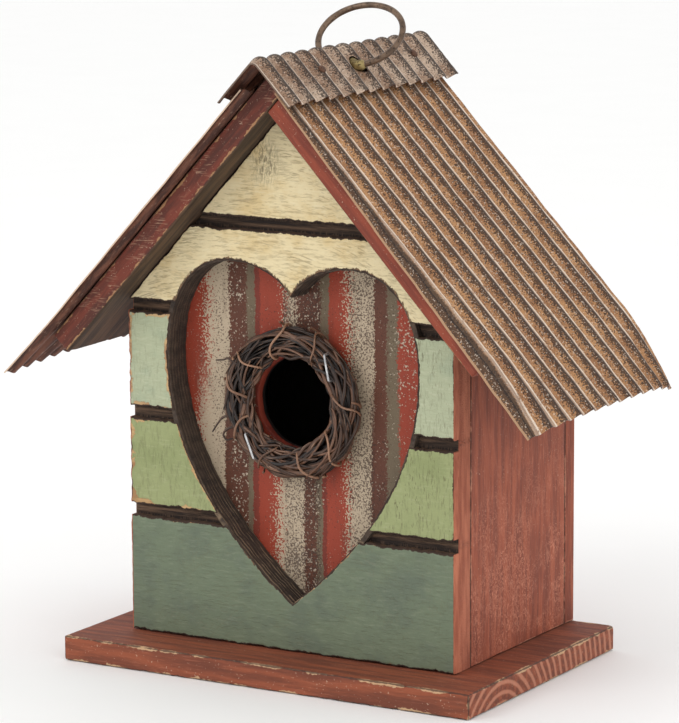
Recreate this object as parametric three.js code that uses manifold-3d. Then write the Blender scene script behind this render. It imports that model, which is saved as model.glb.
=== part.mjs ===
// A rustic gabled birdhouse: a wooden box on a wide base, a front board cut through with a heart
// that shows a striped panel behind it, a twig wreath round the entrance, and a tin roof with a
// ridge cap and a wire hanging ring.
// Millimetres. +Z up, front faces -Y, +X to the viewer's right. The origin is the centre of the
// base's underside.
import * as THREE from "three";
import { mergeVertices } from "three/addons/utils/BufferGeometryUtils.js";
import Module from "manifold-3d";

const wasm = await Module();
wasm.setup();

// ---------------------------------------------------------------- driving dimensions
const GAP = 0.3; // clearance between two pieces that touch

const BASE = { width: 187, depth: 124, height: 10 };
const BODY = { width: 150, front: -39.5, back: 62 }; // y of the front and the back face
const FRONT_T = 12.7; // front board
const BACK_T = 8.5;
const SIDE_T = 9;
const PANEL_T = 5.5;

const PITCH_DEG = 46.9; // roof slope
const ROOF = { apex: 227.2, thick: 9.2, front: -53.8, leftEnd: 95.3, rightEnd: 89.9 };

const GROOVE = { depth: 3.5, tall: 5, tops: [183.4, 147, 103.2, 63] };
const HEART = { x: 1.4, notch: 152.7, top: 165.3, wide: 126, half: 57.1, tip: 30 };
const HOLE = { x: -2.8, z: 108.6, radius: 18.7 };

const TIN_T = 0.8; // thickness of the tin
const WAVE = { pitch: 10.4, height: 2.3, crest: 4.6, steps: 6 }; // crest is the y of one crest
const SHEET = { front: -59.6, length: 124.2, top: 9, eave: 175 }; // top and eave: down the slope
const CAP = { front: -63.8, length: 131.9, reach: 18, crownRadius: 2.2, nest: 3.2 };

const RING = { y: 4, z: 243.5, wire: 1.25, halfWidth: 18.6, halfHeight: 15.1, centre: 11.1 };
const RING_LEAN = 41.4; // degrees back from upright, where the ring rests
const RING_SHIFT = 4; // the ring's middle stands this far to the right of the ridge
const RING_SWING = { range: 44, steps: 4 }; // degrees it swings up from its rest
const SLEEVE = { from: 0.055, to: 0.098, radius: 2.1 }; // shares of the ring's length

const WREATH = { x: -2, z: 109.6, radius: 25, standOff: 6.4, radial: 3.75, deep: 3, strand: 1.4 };
const WRAP = { radius: 0.65, degrees: [8, 62, 104, 142, 172, 206, 246, 286, 322] };

const CLEAN_OUT = { z: 62, radius: 19, cover: 23.5, ear: 7, earRise: 28, thick: 3 };

// ---------------------------------------------------------------- derived values
const SLOPE = THREE.MathUtils.degToRad(PITCH_DEG);
const COS = Math.cos(SLOPE);
const SIN = Math.sin(SLOPE);
const TAN = Math.tan(SLOPE);
const FLOOR = BASE.height + GAP; // underside of everything that stands on the base
const PANEL_FRONT = BODY.front + FRONT_T + GAP;
const BACK_FRONT = BODY.back - BACK_T;
const BOARD_APEX = ROOF.apex + ROOF.thick / COS; // where the roof boards' top planes would meet
const WREATH_Y = PANEL_FRONT - WREATH.standOff;

// ---------------------------------------------------------------- materials
const paint = (color, roughness = 0.8, metalness = 0) =>
  new THREE.MeshStandardMaterial({ color, roughness, metalness });
const LOOK = {
  base: paint(0x8a4a38),
  planks: paint(0x9fb08a),
  stripes: paint(0xa5604c),
  redWood: paint(0x9b5541),
  roofWood: paint(0x8c4836),
  tin: paint(0xb57f58, 0.6, 0.5),
  cap: paint(0xab9580, 0.6, 0.5),
  wire: paint(0x66544a, 0.5, 0.8),
  ferrule: paint(0x93835a, 0.5, 0.7),
  twig: paint(0x4a372b, 0.9),
  vine: paint(0x8c6b50, 0.85),
  steel: paint(0xc4c4c4, 0.35, 0.9),
};

// ---------------------------------------------------------------- helpers
const root = new THREE.Group();

function add(name, geometry, material) {
  const mesh = new THREE.Mesh(geometry, material);
  mesh.name = name;
  root.add(mesh);
  return mesh;
}

// A closed geometry as a manifold-3d solid.
function solid(geometry) {
  const bare = geometry.clone();
  bare.deleteAttribute("normal");
  bare.deleteAttribute("uv");
  const merged = mergeVertices(bare, 1e-4);
  return new wasm.Manifold(
    new wasm.Mesh({
      numProp: 3,
      vertProperties: merged.attributes.position.array,
      triVerts: new Uint32Array(merged.index.array),
    }),
  );
}

function geometryOf(made) {
  const mesh = made.getMesh();
  const geometry = new THREE.BufferGeometry();
  geometry.setAttribute("position", new THREE.BufferAttribute(mesh.vertProperties, 3));
  geometry.setIndex(new THREE.BufferAttribute(mesh.triVerts, 1));
  geometry.computeVertexNormals();
  return geometry;
}

function cut(geometry, ...tools) {
  return geometryOf(tools.reduce((made, tool) => made.subtract(solid(tool)), solid(geometry)));
}

function join(...pieces) {
  return geometryOf(pieces.map(solid).reduce((a, b) => a.add(b)));
}

// A box between two corners.
function box([x0, y0, z0], [x1, y1, z1]) {
  const made = new THREE.BoxGeometry(x1 - x0, y1 - y0, z1 - z0);
  return made.translate((x0 + x1) / 2, (y0 + y1) / 2, (z0 + z1) / 2);
}

// An outline drawn in the XZ plane, made solid from y0 back to y1.
function slab(shape, y0, y1, curveSegments = 12) {
  const options = { depth: y1 - y0, bevelEnabled: false, curveSegments };
  const made = new THREE.ExtrudeGeometry(shape, options);
  return made.rotateX(Math.PI / 2).translate(0, y1, 0);
}

const outline = (points) => new THREE.Shape(points.map(([x, z]) => new THREE.Vector2(x, z)));

// A cylinder from one point to another.
function rod(from, to, radius, sides = 16) {
  const a = new THREE.Vector3(...from);
  const b = new THREE.Vector3(...to);
  const made = new THREE.CylinderGeometry(radius, radius, a.distanceTo(b), sides);
  const turn = new THREE.Quaternion().setFromUnitVectors(
    new THREE.Vector3(0, 1, 0),
    b.clone().sub(a).normalize(),
  );
  const middle = a.add(b).multiplyScalar(0.5);
  return made.applyQuaternion(turn).translate(middle.x, middle.y, middle.z);
}

const roofUnder = (x) => ROOF.apex - Math.abs(x) * TAN;

// A board with a gable top: its upper edges follow the roof's underside, GAP below it.
function gable(halfWidth, top = Infinity) {
  const eave = roofUnder(halfWidth) - GAP / COS;
  const peak = ROOF.apex - GAP / COS;
  const points = [[-halfWidth, FLOOR], [halfWidth, FLOOR], [halfWidth, eave]];
  if (top < peak) {
    const x = (peak - top) / TAN;
    points.push([x, top], [-x, top]);
  } else {
    points.push([0, peak]);
  }
  points.push([-halfWidth, eave]);
  return outline(points);
}

// ---------------------------------------------------------------- base and body
function heartShape() {
  const { x, notch, top, wide, half, tip } = HEART;
  const lobe = half * 0.47; // the lobe's highest point, out from the middle
  const shape = new THREE.Shape();
  shape.moveTo(x, notch);
  shape.bezierCurveTo(x + 6, top - 4, x + lobe * 0.62, top, x + lobe, top);
  shape.bezierCurveTo(x + half * 0.83, top, x + half, wide + 22, x + half, wide);
  shape.bezierCurveTo(x + half, wide - 42, x + half * 0.5, tip + 22, x, tip);
  shape.bezierCurveTo(x - half * 0.5, tip + 22, x - half, wide - 42, x - half, wide);
  shape.bezierCurveTo(x - half, wide + 22, x - half * 0.83, top, x - lobe, top);
  shape.bezierCurveTo(x - lobe * 0.62, top, x - 6, top - 4, x, notch);
  return shape;
}

function frontBoard() {
  const back = BODY.front + FRONT_T;
  const side = BODY.width / 2 + 1;
  const grooves = GROOVE.tops.map((top) =>
    box([-side, BODY.front - 1, top - GROOVE.tall], [side, BODY.front + GROOVE.depth, top]),
  );
  const heart = slab(heartShape(), BODY.front - 1, back + 1, 7);
  return cut(slab(gable(BODY.width / 2), BODY.front, back), heart, ...grooves);
}

function stripedPanel() {
  const half = BODY.width / 2 - SIDE_T - 2 * GAP;
  const board = slab(gable(half, HEART.top + 20), PANEL_FRONT, PANEL_FRONT + PANEL_T);
  const centre = [HOLE.x, HOLE.z];
  const hole = rod(
    [centre[0], PANEL_FRONT - 1, centre[1]],
    [centre[0], PANEL_FRONT + PANEL_T + 1, centre[1]],
    HOLE.radius,
    40,
  );
  return cut(board, hole);
}

function sideBoard(side) {
  const outer = BODY.width / 2;
  const inner = outer - SIDE_T;
  const topOf = (x) => roofUnder(x) - GAP / COS;
  const shape = outline(
    [[inner, FLOOR], [outer, FLOOR], [outer, topOf(outer)], [inner, topOf(inner)]].map(
      ([x, z]) => [side * x, z],
    ),
  );
  return slab(shape, PANEL_FRONT, BACK_FRONT - GAP);
}

function backBoard(tools) {
  const { z, radius } = CLEAN_OUT;
  const hole = rod([0, BACK_FRONT - 1, z], [0, BODY.back + 1, z], radius, 32);
  return cut(slab(gable(BODY.width / 2), BACK_FRONT, BODY.back), hole, ...tools);
}

// ---------------------------------------------------------------- fasteners
// A screw or nail along a direction: a head disc on a shank. The same function with a grow value
// gives the clearance hole.
function fastener(at, along, { head, headT, shank, length }, grow = 0) {
  const from = new THREE.Vector3(...at);
  const dir = new THREE.Vector3(...along).normalize();
  const point = (d) => from.clone().addScaledVector(dir, d).toArray();
  return join(
    rod(point(-grow), point(headT + grow), head + grow, 12),
    rod(point(headT / 2), point(length + grow), shank + grow, 8),
  );
}

const SCREW = { head: 3.4, headT: 2, shank: 1.7, length: 24 };
const NAIL = { head: 1.7, headT: 0.8, shank: 0.75, length: 13 };
const PIVOT_SCREW = { head: 4.2, headT: 1.8, shank: 1.6, length: 10 };

const SCREW_X = BODY.width / 2 - SIDE_T / 2;
const baseScrews = [-1, 1].flatMap((sx) =>
  [-18, 44].map((y) => ({ at: [sx * SCREW_X, y, 0], along: [0, 0, 1] })),
);
const backNails = [-1, 1].flatMap((sx) =>
  [24, 51, 120].map((z) => ({
    at: [sx * (SCREW_X + 2.3), BODY.back + NAIL.headT + GAP, z],
    along: [0, -1, 0],
  })),
);

// ---------------------------------------------------------------- roof boards
// Points of a slope's own section, given as distance down the slope from the top planes' meeting
// line and height above the boards' top, turned into x and z. side is +1 for the right slope.
function onSlope(side, down, height) {
  return [side * (down * COS + height * SIN), BOARD_APEX - down * SIN + height * COS];
}

function roofBoard(side) {
  const end = (side > 0 ? ROOF.rightEnd : ROOF.leftEnd) / COS + ROOF.thick * TAN;
  const under = -ROOF.thick;
  // The left board runs up to the right board's top plane; the right one butts against the left
  // one's underside.
  const lap = (h) => h / Math.tan(2 * SLOPE);
  const butt = (h) => (ROOF.thick + GAP + h * Math.cos(2 * SLOPE)) / Math.sin(2 * SLOPE);
  const upper = [0, under].map((h) => [side < 0 ? lap(h) : butt(h), h]);
  const points = [...upper, [end, under], [end, 0]].map(([d, h]) => onSlope(side, d, h));
  return slab(outline(points), ROOF.front, BODY.back);
}

// ---------------------------------------------------------------- corrugated tin
// Height of the corrugation at a place along y: 0 in a trough, 1 on a crest. The waves lean a
// little: rise is the share of a wave from trough to crest, going back.
function wave(y, rise) {
  const phase = (((y - WAVE.crest) / WAVE.pitch + rise) % 1 + 1) % 1;
  return phase < rise
    ? (1 - Math.cos((Math.PI * phase) / rise)) / 2
    : (1 + Math.cos((Math.PI * (phase - rise)) / (1 - rise))) / 2;
}

// A thin wavy sheet. section lists [x, z, normal x, normal z, down] across the slope, lift(y, down)
// bends it away from its plane, and base is the height of its middle surface in a trough.
function tin(section, front, length, base, rise, lift) {
  const count = Math.round((length / WAVE.pitch) * WAVE.steps);
  const rows = count + 1;
  const cols = section.length;
  const position = [];
  for (const face of [0.5, -0.5]) {
    for (let i = 0; i < rows; i++) {
      const y = front + (length * i) / count;
      for (const [x, z, nx, nz, down] of section) {
        const h = base + WAVE.height * wave(y, rise) + lift(y, down) + face * TIN_T;
        position.push(x + nx * h, y, z + nz * h);
      }
    }
  }
  const top = (i, j) => i * cols + j;
  const bottom = (i, j) => rows * cols + i * cols + j;
  const index = [];
  const quad = (a, b, c, d) => index.push(a, b, c, a, c, d);
  for (let i = 0; i < count; i++) {
    for (let j = 0; j < cols - 1; j++) {
      quad(top(i, j), top(i, j + 1), top(i + 1, j + 1), top(i + 1, j));
      quad(bottom(i, j), bottom(i + 1, j), bottom(i + 1, j + 1), bottom(i, j + 1));
    }
    quad(top(i, 0), top(i + 1, 0), bottom(i + 1, 0), bottom(i, 0));
    quad(top(i + 1, cols - 1), top(i, cols - 1), bottom(i, cols - 1), bottom(i + 1, cols - 1));
  }
  for (let j = 0; j < cols - 1; j++) {
    quad(top(0, j + 1), top(0, j), bottom(0, j), bottom(0, j + 1));
    quad(top(count, j), top(count, j + 1), bottom(count, j + 1), bottom(count, j));
  }
  const made = new THREE.BufferGeometry();
  made.setAttribute("position", new THREE.Float32BufferAttribute(position, 3));
  made.setIndex(index);
  if (solid(made).volume() < 0) {
    for (let k = 0; k < index.length; k += 3) {
      [index[k + 1], index[k + 2]] = [index[k + 2], index[k + 1]];
    }
    made.setIndex(index);
  }
  return made;
}

const smooth = (t) => THREE.MathUtils.smoothstep(t, 0, 1);
const ROOF_END = ROOF.rightEnd / COS + ROOF.thick * TAN;

// The right sheet lifts slightly at the middle of its eave and droops at both corners; the left
// one flares up, most at its middle.
const LIFT = {
  right: (y, down) => {
    const v = (y - 2.5) / 62;
    const free = Math.max(0, (down - ROOF_END) / (SHEET.eave - ROOF_END));
    const past = Math.max(ROOF.front - y, y - BODY.back) - 1.8; // beyond the boards' front or back
    const overhang = smooth(past / 4);
    const droop = free ** 1.5 + overhang * (down / SHEET.eave - free ** 1.5);
    return 1.2 * smooth(down / SHEET.eave) - 6.5 * v ** 4 * droop;
  },
  left: (y, down) => {
    const v = (y - 8) / 68;
    const free = Math.max(0, (down - ROOF_END) / (SHEET.eave - ROOF_END));
    return (5.5 - 4.5 * v * v) * free ** 1.3;
  },
};
const TIN_BASE = GAP + TIN_T / 2;

function roofSheet(side) {
  const stations = [SHEET.top, 60, 110, ROOF_END, 150, 163, SHEET.eave];
  const section = stations.map((down) => [...onSlope(side, down, 0), side * SIN, COS, down]);
  const lift = side > 0 ? LIFT.right : LIFT.left;
  const rise = side > 0 ? 0.4 : 0.6;
  return tin(section, SHEET.front, SHEET.length, TIN_BASE, rise, lift);
}

// The cap's section: straight wings joined by a rounded crown.
function capSection() {
  const low = TIN_BASE + TIN_T + CAP.nest; // trough of the cap's middle surface above the boards
  const crown = CAP.crownRadius;
  const peak = BOARD_APEX + (low - crown) / COS; // centre of the crown's arc
  const wing = (side) => {
    const [x, z] = onSlope(side, CAP.reach, low);
    return [x, z, side * SIN, COS, CAP.reach];
  };
  const arc = [-1, -0.5, 0, 0.5, 1].map((t) => {
    const angle = t * SLOPE;
    const normal = [Math.sin(angle), Math.cos(angle)];
    return [crown * normal[0], peak + crown * normal[1], ...normal, 0];
  });
  return [wing(-1), ...arc, wing(1)];
}

function ridgeCap(tools) {
  return cut(tin(capSection(), CAP.front, CAP.length, 0, 0.5, () => 0), ...tools);
}

// ---------------------------------------------------------------- hanging ring
// A point of the leaning ring, from x and the distance up its own plane.
function onRing(x, up) {
  const lean = THREE.MathUtils.degToRad(RING_LEAN);
  return new THREE.Vector3(x, RING.y + up * Math.sin(lean), RING.z + up * Math.cos(lean));
}

// One wire, from inside the cap out through the right slot, round and back in at the left.
function ringPath() {
  const points = [onRing(0.4, 0), onRing(3.2, -0.6), onRing(6, -2.6)];
  const steps = 16;
  for (let i = 0; i <= steps; i++) {
    const angle = THREE.MathUtils.degToRad(-75 + (299 * i) / steps);
    const x = RING_SHIFT + RING.halfWidth * Math.cos(angle);
    points.push(onRing(x, RING.centre + RING.halfHeight * Math.sin(angle)));
  }
  points.push(onRing(-6.5, -0.2), onRing(-3.2, 0), onRing(-0.4, 0));
  return new THREE.CatmullRomCurve3(points, false, "centripetal");
}

// A stretch of a path, between two shares of its length.
function stretch(path, from, to) {
  const points = [0, 0.25, 0.5, 0.75, 1].map((t) => path.getPointAt(from + t * (to - from)));
  return new THREE.CatmullRomCurve3(points);
}

// The places that a solid of the ring passes through as the ring swings.
function swept(solid) {
  const places = [];
  for (let i = 0; i <= RING_SWING.steps; i++) {
    const turn = THREE.MathUtils.degToRad((RING_SWING.range * i) / RING_SWING.steps);
    const place = solid.clone().translate(0, -RING.y, -RING.z).rotateX(turn);
    places.push(place.translate(0, RING.y, RING.z));
  }
  return places;
}

function tube(path, radius, sides, steps) {
  const section = new THREE.Shape();
  for (let i = 0; i < sides; i++) {
    const angle = (2 * Math.PI * i) / sides;
    const place = [radius * Math.cos(angle), radius * Math.sin(angle)];
    if (i) section.lineTo(...place);
    else section.moveTo(...place);
  }
  return new THREE.ExtrudeGeometry(section, { steps, bevelEnabled: false, extrudePath: path });
}

// ---------------------------------------------------------------- wreath
// A point of the wreath's bundle: angle round the ring, then radial and forward offsets.
function onWreath(angle, radial, forward) {
  const r = WREATH.radius + radial;
  return new THREE.Vector3(
    WREATH.x + r * Math.cos(angle),
    WREATH_Y - forward,
    WREATH.z + r * Math.sin(angle),
  );
}

function closedTube(points, radius, sides, steps) {
  const path = new THREE.CatmullRomCurve3(points, true, "centripetal");
  return new THREE.TubeGeometry(path, steps, radius, sides, true);
}

// Six strands laid round a core, each going twice round it.
function strand(number) {
  const points = [];
  const count = 24;
  for (let i = 0; i < count; i++) {
    const angle = (2 * Math.PI * i) / count;
    const lay = 2 * angle + (number * Math.PI) / 3;
    const out = number === 0 ? 0 : 1;
    const radial = out * WREATH.radial * Math.cos(lay);
    points.push(onWreath(angle, radial, out * WREATH.deep * Math.sin(lay)));
  }
  return closedTube(points, WREATH.strand, 5, 28);
}

// A thin vine tied round the bundle.
function wrap(degrees, number) {
  const reach = WREATH.strand + WRAP.radius + GAP;
  const lean = 0.1 * (number % 2 ? 1 : -1);
  const points = [];
  for (let i = 0; i < 10; i++) {
    const turn = (2 * Math.PI * i) / 10;
    const angle = THREE.MathUtils.degToRad(degrees) + lean * Math.cos(turn);
    const radial = (WREATH.radial + reach) * Math.cos(turn);
    points.push(onWreath(angle, radial, (WREATH.deep + reach) * Math.sin(turn)));
  }
  return closedTube(points, WRAP.radius, 4, 12);
}

// Short twig ends that stick out of the bundle on the left.
const SPRIGS = [
  [[151, 7.4, 2], [153.5, 9, 2.6], [156, 11.5, 3.2]],
  [[195, 7.2, 2], [198, 9.8, 2.8], [202, 13.2, 3.2]],
  [[204, 7.4, 2], [206.5, 9.4, 2.6], [210.5, 8.8, 2.8]],
];

function sprig(stations) {
  const points = stations.map(([degrees, radial, forward]) =>
    onWreath(THREE.MathUtils.degToRad(degrees), radial, forward),
  );
  return tube(new THREE.CatmullRomCurve3(points), 0.55, 5, 5);
}

// A steel staple driven into the bundle: only its flat crown stands clear of the strands.
const STAPLE = { crown: 11.4, wide: 1.1, thick: 0.8 };
const STAPLES = [
  { degrees: 41, way: 101 },
  { degrees: 227, way: 112 },
];

function staple({ degrees, way }) {
  const { crown, wide, thick } = STAPLE;
  const front = WREATH.deep + WREATH.strand + GAP + thick;
  const middle = onWreath(THREE.MathUtils.degToRad(degrees), 0, 0);
  return box([-crown / 2, -front, -wide / 2], [crown / 2, thick - front, wide / 2])
    .rotateY(-THREE.MathUtils.degToRad(way))
    .translate(middle.x, middle.y, middle.z);
}

// ---------------------------------------------------------------- clean-out cover
const PIVOT_Z = CLEAN_OUT.z + CLEAN_OUT.earRise;
const pivotScrew = {
  at: [0, BODY.back + 2 * GAP + CLEAN_OUT.thick + PIVOT_SCREW.headT, PIVOT_Z],
  along: [0, -1, 0],
};

function cleanOutCover() {
  const { z, cover, ear, earRise, thick } = CLEAN_OUT;
  const lean = Math.asin((cover - ear) / earRise); // direction of the tangent lines
  const shape = new THREE.Shape();
  shape.absarc(0, z, cover, Math.PI - lean, 2 * Math.PI + lean, false);
  shape.absarc(0, z + earRise, ear, lean, Math.PI - lean, false);
  shape.closePath();
  const front = BODY.back + GAP;
  const plate = slab(shape, front, front + thick, 10);
  const bore = rod([0, front - 1, PIVOT_Z], [0, front + thick + 1, PIVOT_Z], PIVOT_SCREW.shank + GAP, 12);
  return cut(plate, bore);
}

// ---------------------------------------------------------------- assembly
const hole = ({ at, along }, kind) => fastener(at, along, kind, GAP);
const ringCurve = ringPath();
const sleeveCurve = stretch(ringCurve, SLEEVE.from, SLEEVE.to);
const ringSlots = swept(tube(ringCurve, RING.wire + 0.55, 8, 56));
const sleeveReach = stretch(ringCurve, SLEEVE.from - 0.01, SLEEVE.to + 0.01);
const sleeveSlots = swept(tube(sleeveReach, SLEEVE.radius + GAP, 10, 8));

// The left slope's nails stand one wave further back, clear of the right slope's.
const CAP_NAIL_Y = [WAVE.crest - 3 * WAVE.pitch, WAVE.crest + 4 * WAVE.pitch];
const capNails = [1, -1].flatMap((side) =>
  CAP_NAIL_Y.map((y) => {
    const height = TIN_BASE + TIN_T + CAP.nest + WAVE.height + TIN_T / 2 + GAP + NAIL.headT;
    const [x, z] = onSlope(side, 5.2, height);
    return { at: [x, side > 0 ? y : y + WAVE.pitch, z], along: [-side * SIN, 0, -COS] };
  }),
);

const baseHoles = baseScrews.map((s) => hole(s, SCREW));
const nailHoles = backNails.map((n) => hole(n, NAIL));
const capNailHoles = capNails.map((n) => hole(n, NAIL));

const baseCorner = [BASE.width / 2, BASE.depth / 2];
const baseBoard = box([-baseCorner[0], -baseCorner[1], 0], [...baseCorner, BASE.height]);
add("base", cut(baseBoard, ...baseHoles), LOOK.base);
add("front_board", frontBoard(), LOOK.planks);
add("striped_panel", stripedPanel(), LOOK.stripes);
add("side_left", cut(sideBoard(-1), ...baseHoles, ...nailHoles), LOOK.redWood);
add("side_right", cut(sideBoard(1), ...baseHoles, ...nailHoles), LOOK.redWood);
add("back_board", backBoard([...nailHoles, hole(pivotScrew, PIVOT_SCREW)]), LOOK.redWood);
add("roof_board_left", cut(roofBoard(-1), ...capNailHoles), LOOK.roofWood);
add("roof_board_right", cut(roofBoard(1), ...capNailHoles), LOOK.roofWood);
add("roof_sheet_left", roofSheet(-1), LOOK.tin);
add("roof_sheet_right", roofSheet(1), LOOK.tin);
add("ridge_cap", ridgeCap([...ringSlots, ...sleeveSlots, ...capNailHoles]), LOOK.cap);
add("hanging_ring", tube(ringCurve, RING.wire, 8, 56), LOOK.wire);
add(
  "ring_sleeve",
  cut(tube(sleeveCurve, SLEEVE.radius, 10, 8), tube(ringCurve, RING.wire + GAP, 8, 56)),
  LOOK.ferrule,
);

for (let i = 0; i < 7; i++) add("wreath_strand_" + i, strand(i), LOOK.twig);
WRAP.degrees.forEach((degrees, i) => add("wreath_wrap_" + i, wrap(degrees, i), LOOK.vine));
SPRIGS.forEach((stations, i) => add("wreath_sprig_" + i, sprig(stations), LOOK.twig));
STAPLES.forEach((s, i) => add("wreath_staple_" + i, staple(s), LOOK.steel));

add("clean_out_cover", cleanOutCover(), LOOK.redWood);
add("cover_screw", fastener(pivotScrew.at, pivotScrew.along, PIVOT_SCREW), LOOK.steel);
baseScrews.forEach((s, i) => add("base_screw_" + i, fastener(s.at, s.along, SCREW), LOOK.steel));
backNails.forEach((n, i) => add("back_nail_" + i, fastener(n.at, n.along, NAIL), LOOK.steel));
capNails.forEach((n, i) => add("cap_nail_" + i, fastener(n.at, n.along, NAIL), LOOK.steel));

export default root;
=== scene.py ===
"""A rustic gabled birdhouse: painted front planks round a cut-out heart, a striped panel behind the
heart, a twig wreath round the entrance, corrugated tin over a board roof, a ridge cap and a wire
hanging ring.

Row frame: +Z up, the front faces -Y, the origin is the centre of the base's underside. Shapes are
worked out in millimetres and go into the meshes in metres."""

import math
from functools import partialmethod, reduce

import bpy
import numpy as np
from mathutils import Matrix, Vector


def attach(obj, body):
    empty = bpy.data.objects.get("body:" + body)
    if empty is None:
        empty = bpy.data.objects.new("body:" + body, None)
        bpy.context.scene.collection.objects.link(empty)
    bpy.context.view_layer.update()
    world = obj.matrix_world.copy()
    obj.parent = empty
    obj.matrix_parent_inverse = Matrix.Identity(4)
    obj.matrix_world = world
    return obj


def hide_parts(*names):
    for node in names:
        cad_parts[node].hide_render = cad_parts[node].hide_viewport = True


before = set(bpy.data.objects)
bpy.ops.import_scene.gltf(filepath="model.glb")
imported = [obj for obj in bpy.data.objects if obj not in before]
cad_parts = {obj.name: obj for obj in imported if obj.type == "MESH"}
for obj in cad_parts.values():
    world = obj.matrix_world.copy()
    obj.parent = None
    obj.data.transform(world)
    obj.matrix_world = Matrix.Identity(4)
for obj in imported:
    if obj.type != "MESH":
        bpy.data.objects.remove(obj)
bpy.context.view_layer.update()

# ---------------------------------------------------------------- driving dimensions, millimetres
GAP = 0.3
BASE = {"width": 187, "depth": 124, "height": 10}
BODY = {"half": 75, "front": -39.5, "back": 62}
FRONT_T, BACK_T, SIDE_T, PANEL_T = 12.7, 8.5, 9, 5.5
SLOPE = math.radians(46.9)
SIN, COS, TAN = math.sin(SLOPE), math.cos(SLOPE), math.tan(SLOPE)
ROOF = {"apex": 227.2, "thick": 9.2, "front": -53.8, "left": 95.3, "right": 89.9}
GROOVE = {"depth": 3.5, "tall": 5, "tops": (183.4, 147, 103.2, 63)}
HEART = {"x": 1.4, "notch": 152.7, "top": 165.3, "wide": 126, "half": 57.1, "tip": 30}
HOLE = {"x": -2.8, "z": 108.6, "radius": 18.7}
TIN_T = 0.8
WAVE = {"pitch": 10.4, "height": 2.3, "crest": 4.6}
SHEET = {"front": -59.6, "length": 124.2, "top": 9, "eave": 175}
CAP = {"front": -63.8, "length": 131.9, "reach": 18, "crown": 2.2, "nest": 3.2}
RING = {"y": 4, "z": 243.5, "wire": 1.25, "wide": 18.6, "tall": 15.1, "centre": 11.1}
RING_LEAN, RING_SHIFT, RING_SWING = math.radians(41.4), 4, math.radians(44)
SLEEVE = {"from": 0.055, "to": 0.098, "radius": 2.1}
WREATH = {"x": -2, "z": 109.6, "radius": 25, "off": 6.4, "radial": 3.75, "deep": 3, "strand": 1.4}
WRAPS = (8, 62, 104, 142, 172, 206, 246, 286, 322)
CLEAN_OUT = {"z": 62, "radius": 19, "cover": 23.5, "ear": 7, "rise": 28, "thick": 3}

FLOOR = BASE["height"] + GAP
PANEL_FRONT = BODY["front"] + FRONT_T + GAP
BACK_FRONT = BODY["back"] - BACK_T
BOARD_APEX = ROOF["apex"] + ROOF["thick"] / COS
PEAK = ROOF["apex"] - GAP / COS
PLY_FRONT = BODY["front"] + GROOVE["depth"]
WREATH_Y = PANEL_FRONT - WREATH["off"]
ROOF_END = ROOF["right"] / COS + ROOF["thick"] * TAN
TIN_BASE = GAP + TIN_T / 2
VISUAL_TIN = 0.55


# ---------------------------------------------------------------- numbers that vary smoothly
def ripple(points, size, seed, count=7):
    """Smooth noise of about -1 to 1: a sum of sines of random direction and phase, each with a
    wavelength near size."""
    rng = np.random.default_rng(seed)
    points = np.asarray(points, float)
    way = rng.normal(size=(count, points.shape[-1]))
    way /= np.linalg.norm(way, axis=1, keepdims=True)
    way *= (2 * np.pi / size) * rng.uniform(0.6, 1.6, (count, 1))
    return np.sin(points @ way.T + rng.uniform(0, 2 * np.pi, count)).sum(-1) / math.sqrt(count)


def ragged(t, step, seed):
    """A torn line: random heights at places a step apart, joined by straight lines."""
    rng = np.random.default_rng(seed)
    t = np.asarray(t, float)
    knots = np.arange(t.min() - step, t.max() + 2 * step, step)
    return np.interp(t, knots + rng.uniform(-0.35, 0.35, len(knots)) * step, rng.normal(size=len(knots)))


def unit(v):
    """Vectors of length one along the given ones."""
    return v / np.maximum(np.linalg.norm(v, axis=-1, keepdims=True), 1e-12)


def catmull(points, count, closed=False):
    """Points of a smooth curve through the given ones: a cubic between each two, whose slope at a
    point is half the way between its neighbours."""
    p = np.asarray(points, float)
    n = len(p)
    t = np.linspace(0, n if closed else n - 1, count, endpoint=not closed)
    i = np.minimum(t.astype(int), n - 1 if closed else n - 2)
    f = (t - i)[:, None]
    at = (lambda k: p[k % n]) if closed else (lambda k: p[np.clip(k, 0, n - 1)])
    a, b, c, d = at(i - 1), at(i), at(i + 1), at(i + 2)
    return 0.5 * (2 * b + (c - a) * f + (2 * a - 5 * b + 4 * c - d) * f**2 + (3 * b - a - 3 * c + d) * f**3)


# ---------------------------------------------------------------- meshes
def quads(rows, cols, wrap_rows=False, wrap_cols=False):
    """Faces of a grid of rows by cols points, which may close on itself either way."""
    i = np.arange(rows if wrap_rows else rows - 1)
    j = np.arange(cols if wrap_cols else cols - 1)
    i, j = np.meshgrid(i, j, indexing="ij")
    i, j = i.ravel(), j.ravel()
    k, m = (i + 1) % rows, (j + 1) % cols
    return np.stack([i * cols + j, k * cols + j, k * cols + m, i * cols + m], 1)


def piece(name, body, slot, material, points, faces, stands_for=(), values=None, sharp=38):
    """A mesh object from points in millimetres and faces, with its normals turned outwards, riding
    on a body and standing for the CAD nodes that it hides."""
    points = np.asarray(points, float).reshape(-1, 3) * 0.001
    mesh = bpy.data.meshes.new(name)
    mesh.from_pydata(points.tolist(), [], [list(map(int, f)) for f in faces])
    mesh.validate()
    if signed_volume(mesh) < 0:
        mesh.flip_normals()
    for key, numbers in (values or {}).items():
        layer = mesh.attributes.new(key, "FLOAT", "POINT")
        layer.data.foreach_set("value", np.asarray(numbers, np.float32).ravel())
    mesh.polygons.foreach_set("use_smooth", np.ones(len(mesh.polygons), bool))
    mesh.set_sharp_from_angle(angle=math.radians(sharp))
    mesh.materials.append(material)
    mesh.update()
    made = bpy.data.objects.new(name, mesh)
    bpy.context.scene.collection.objects.link(made)
    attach(made, body)
    if stands_for:
        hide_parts(*stands_for)
    return made


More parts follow.
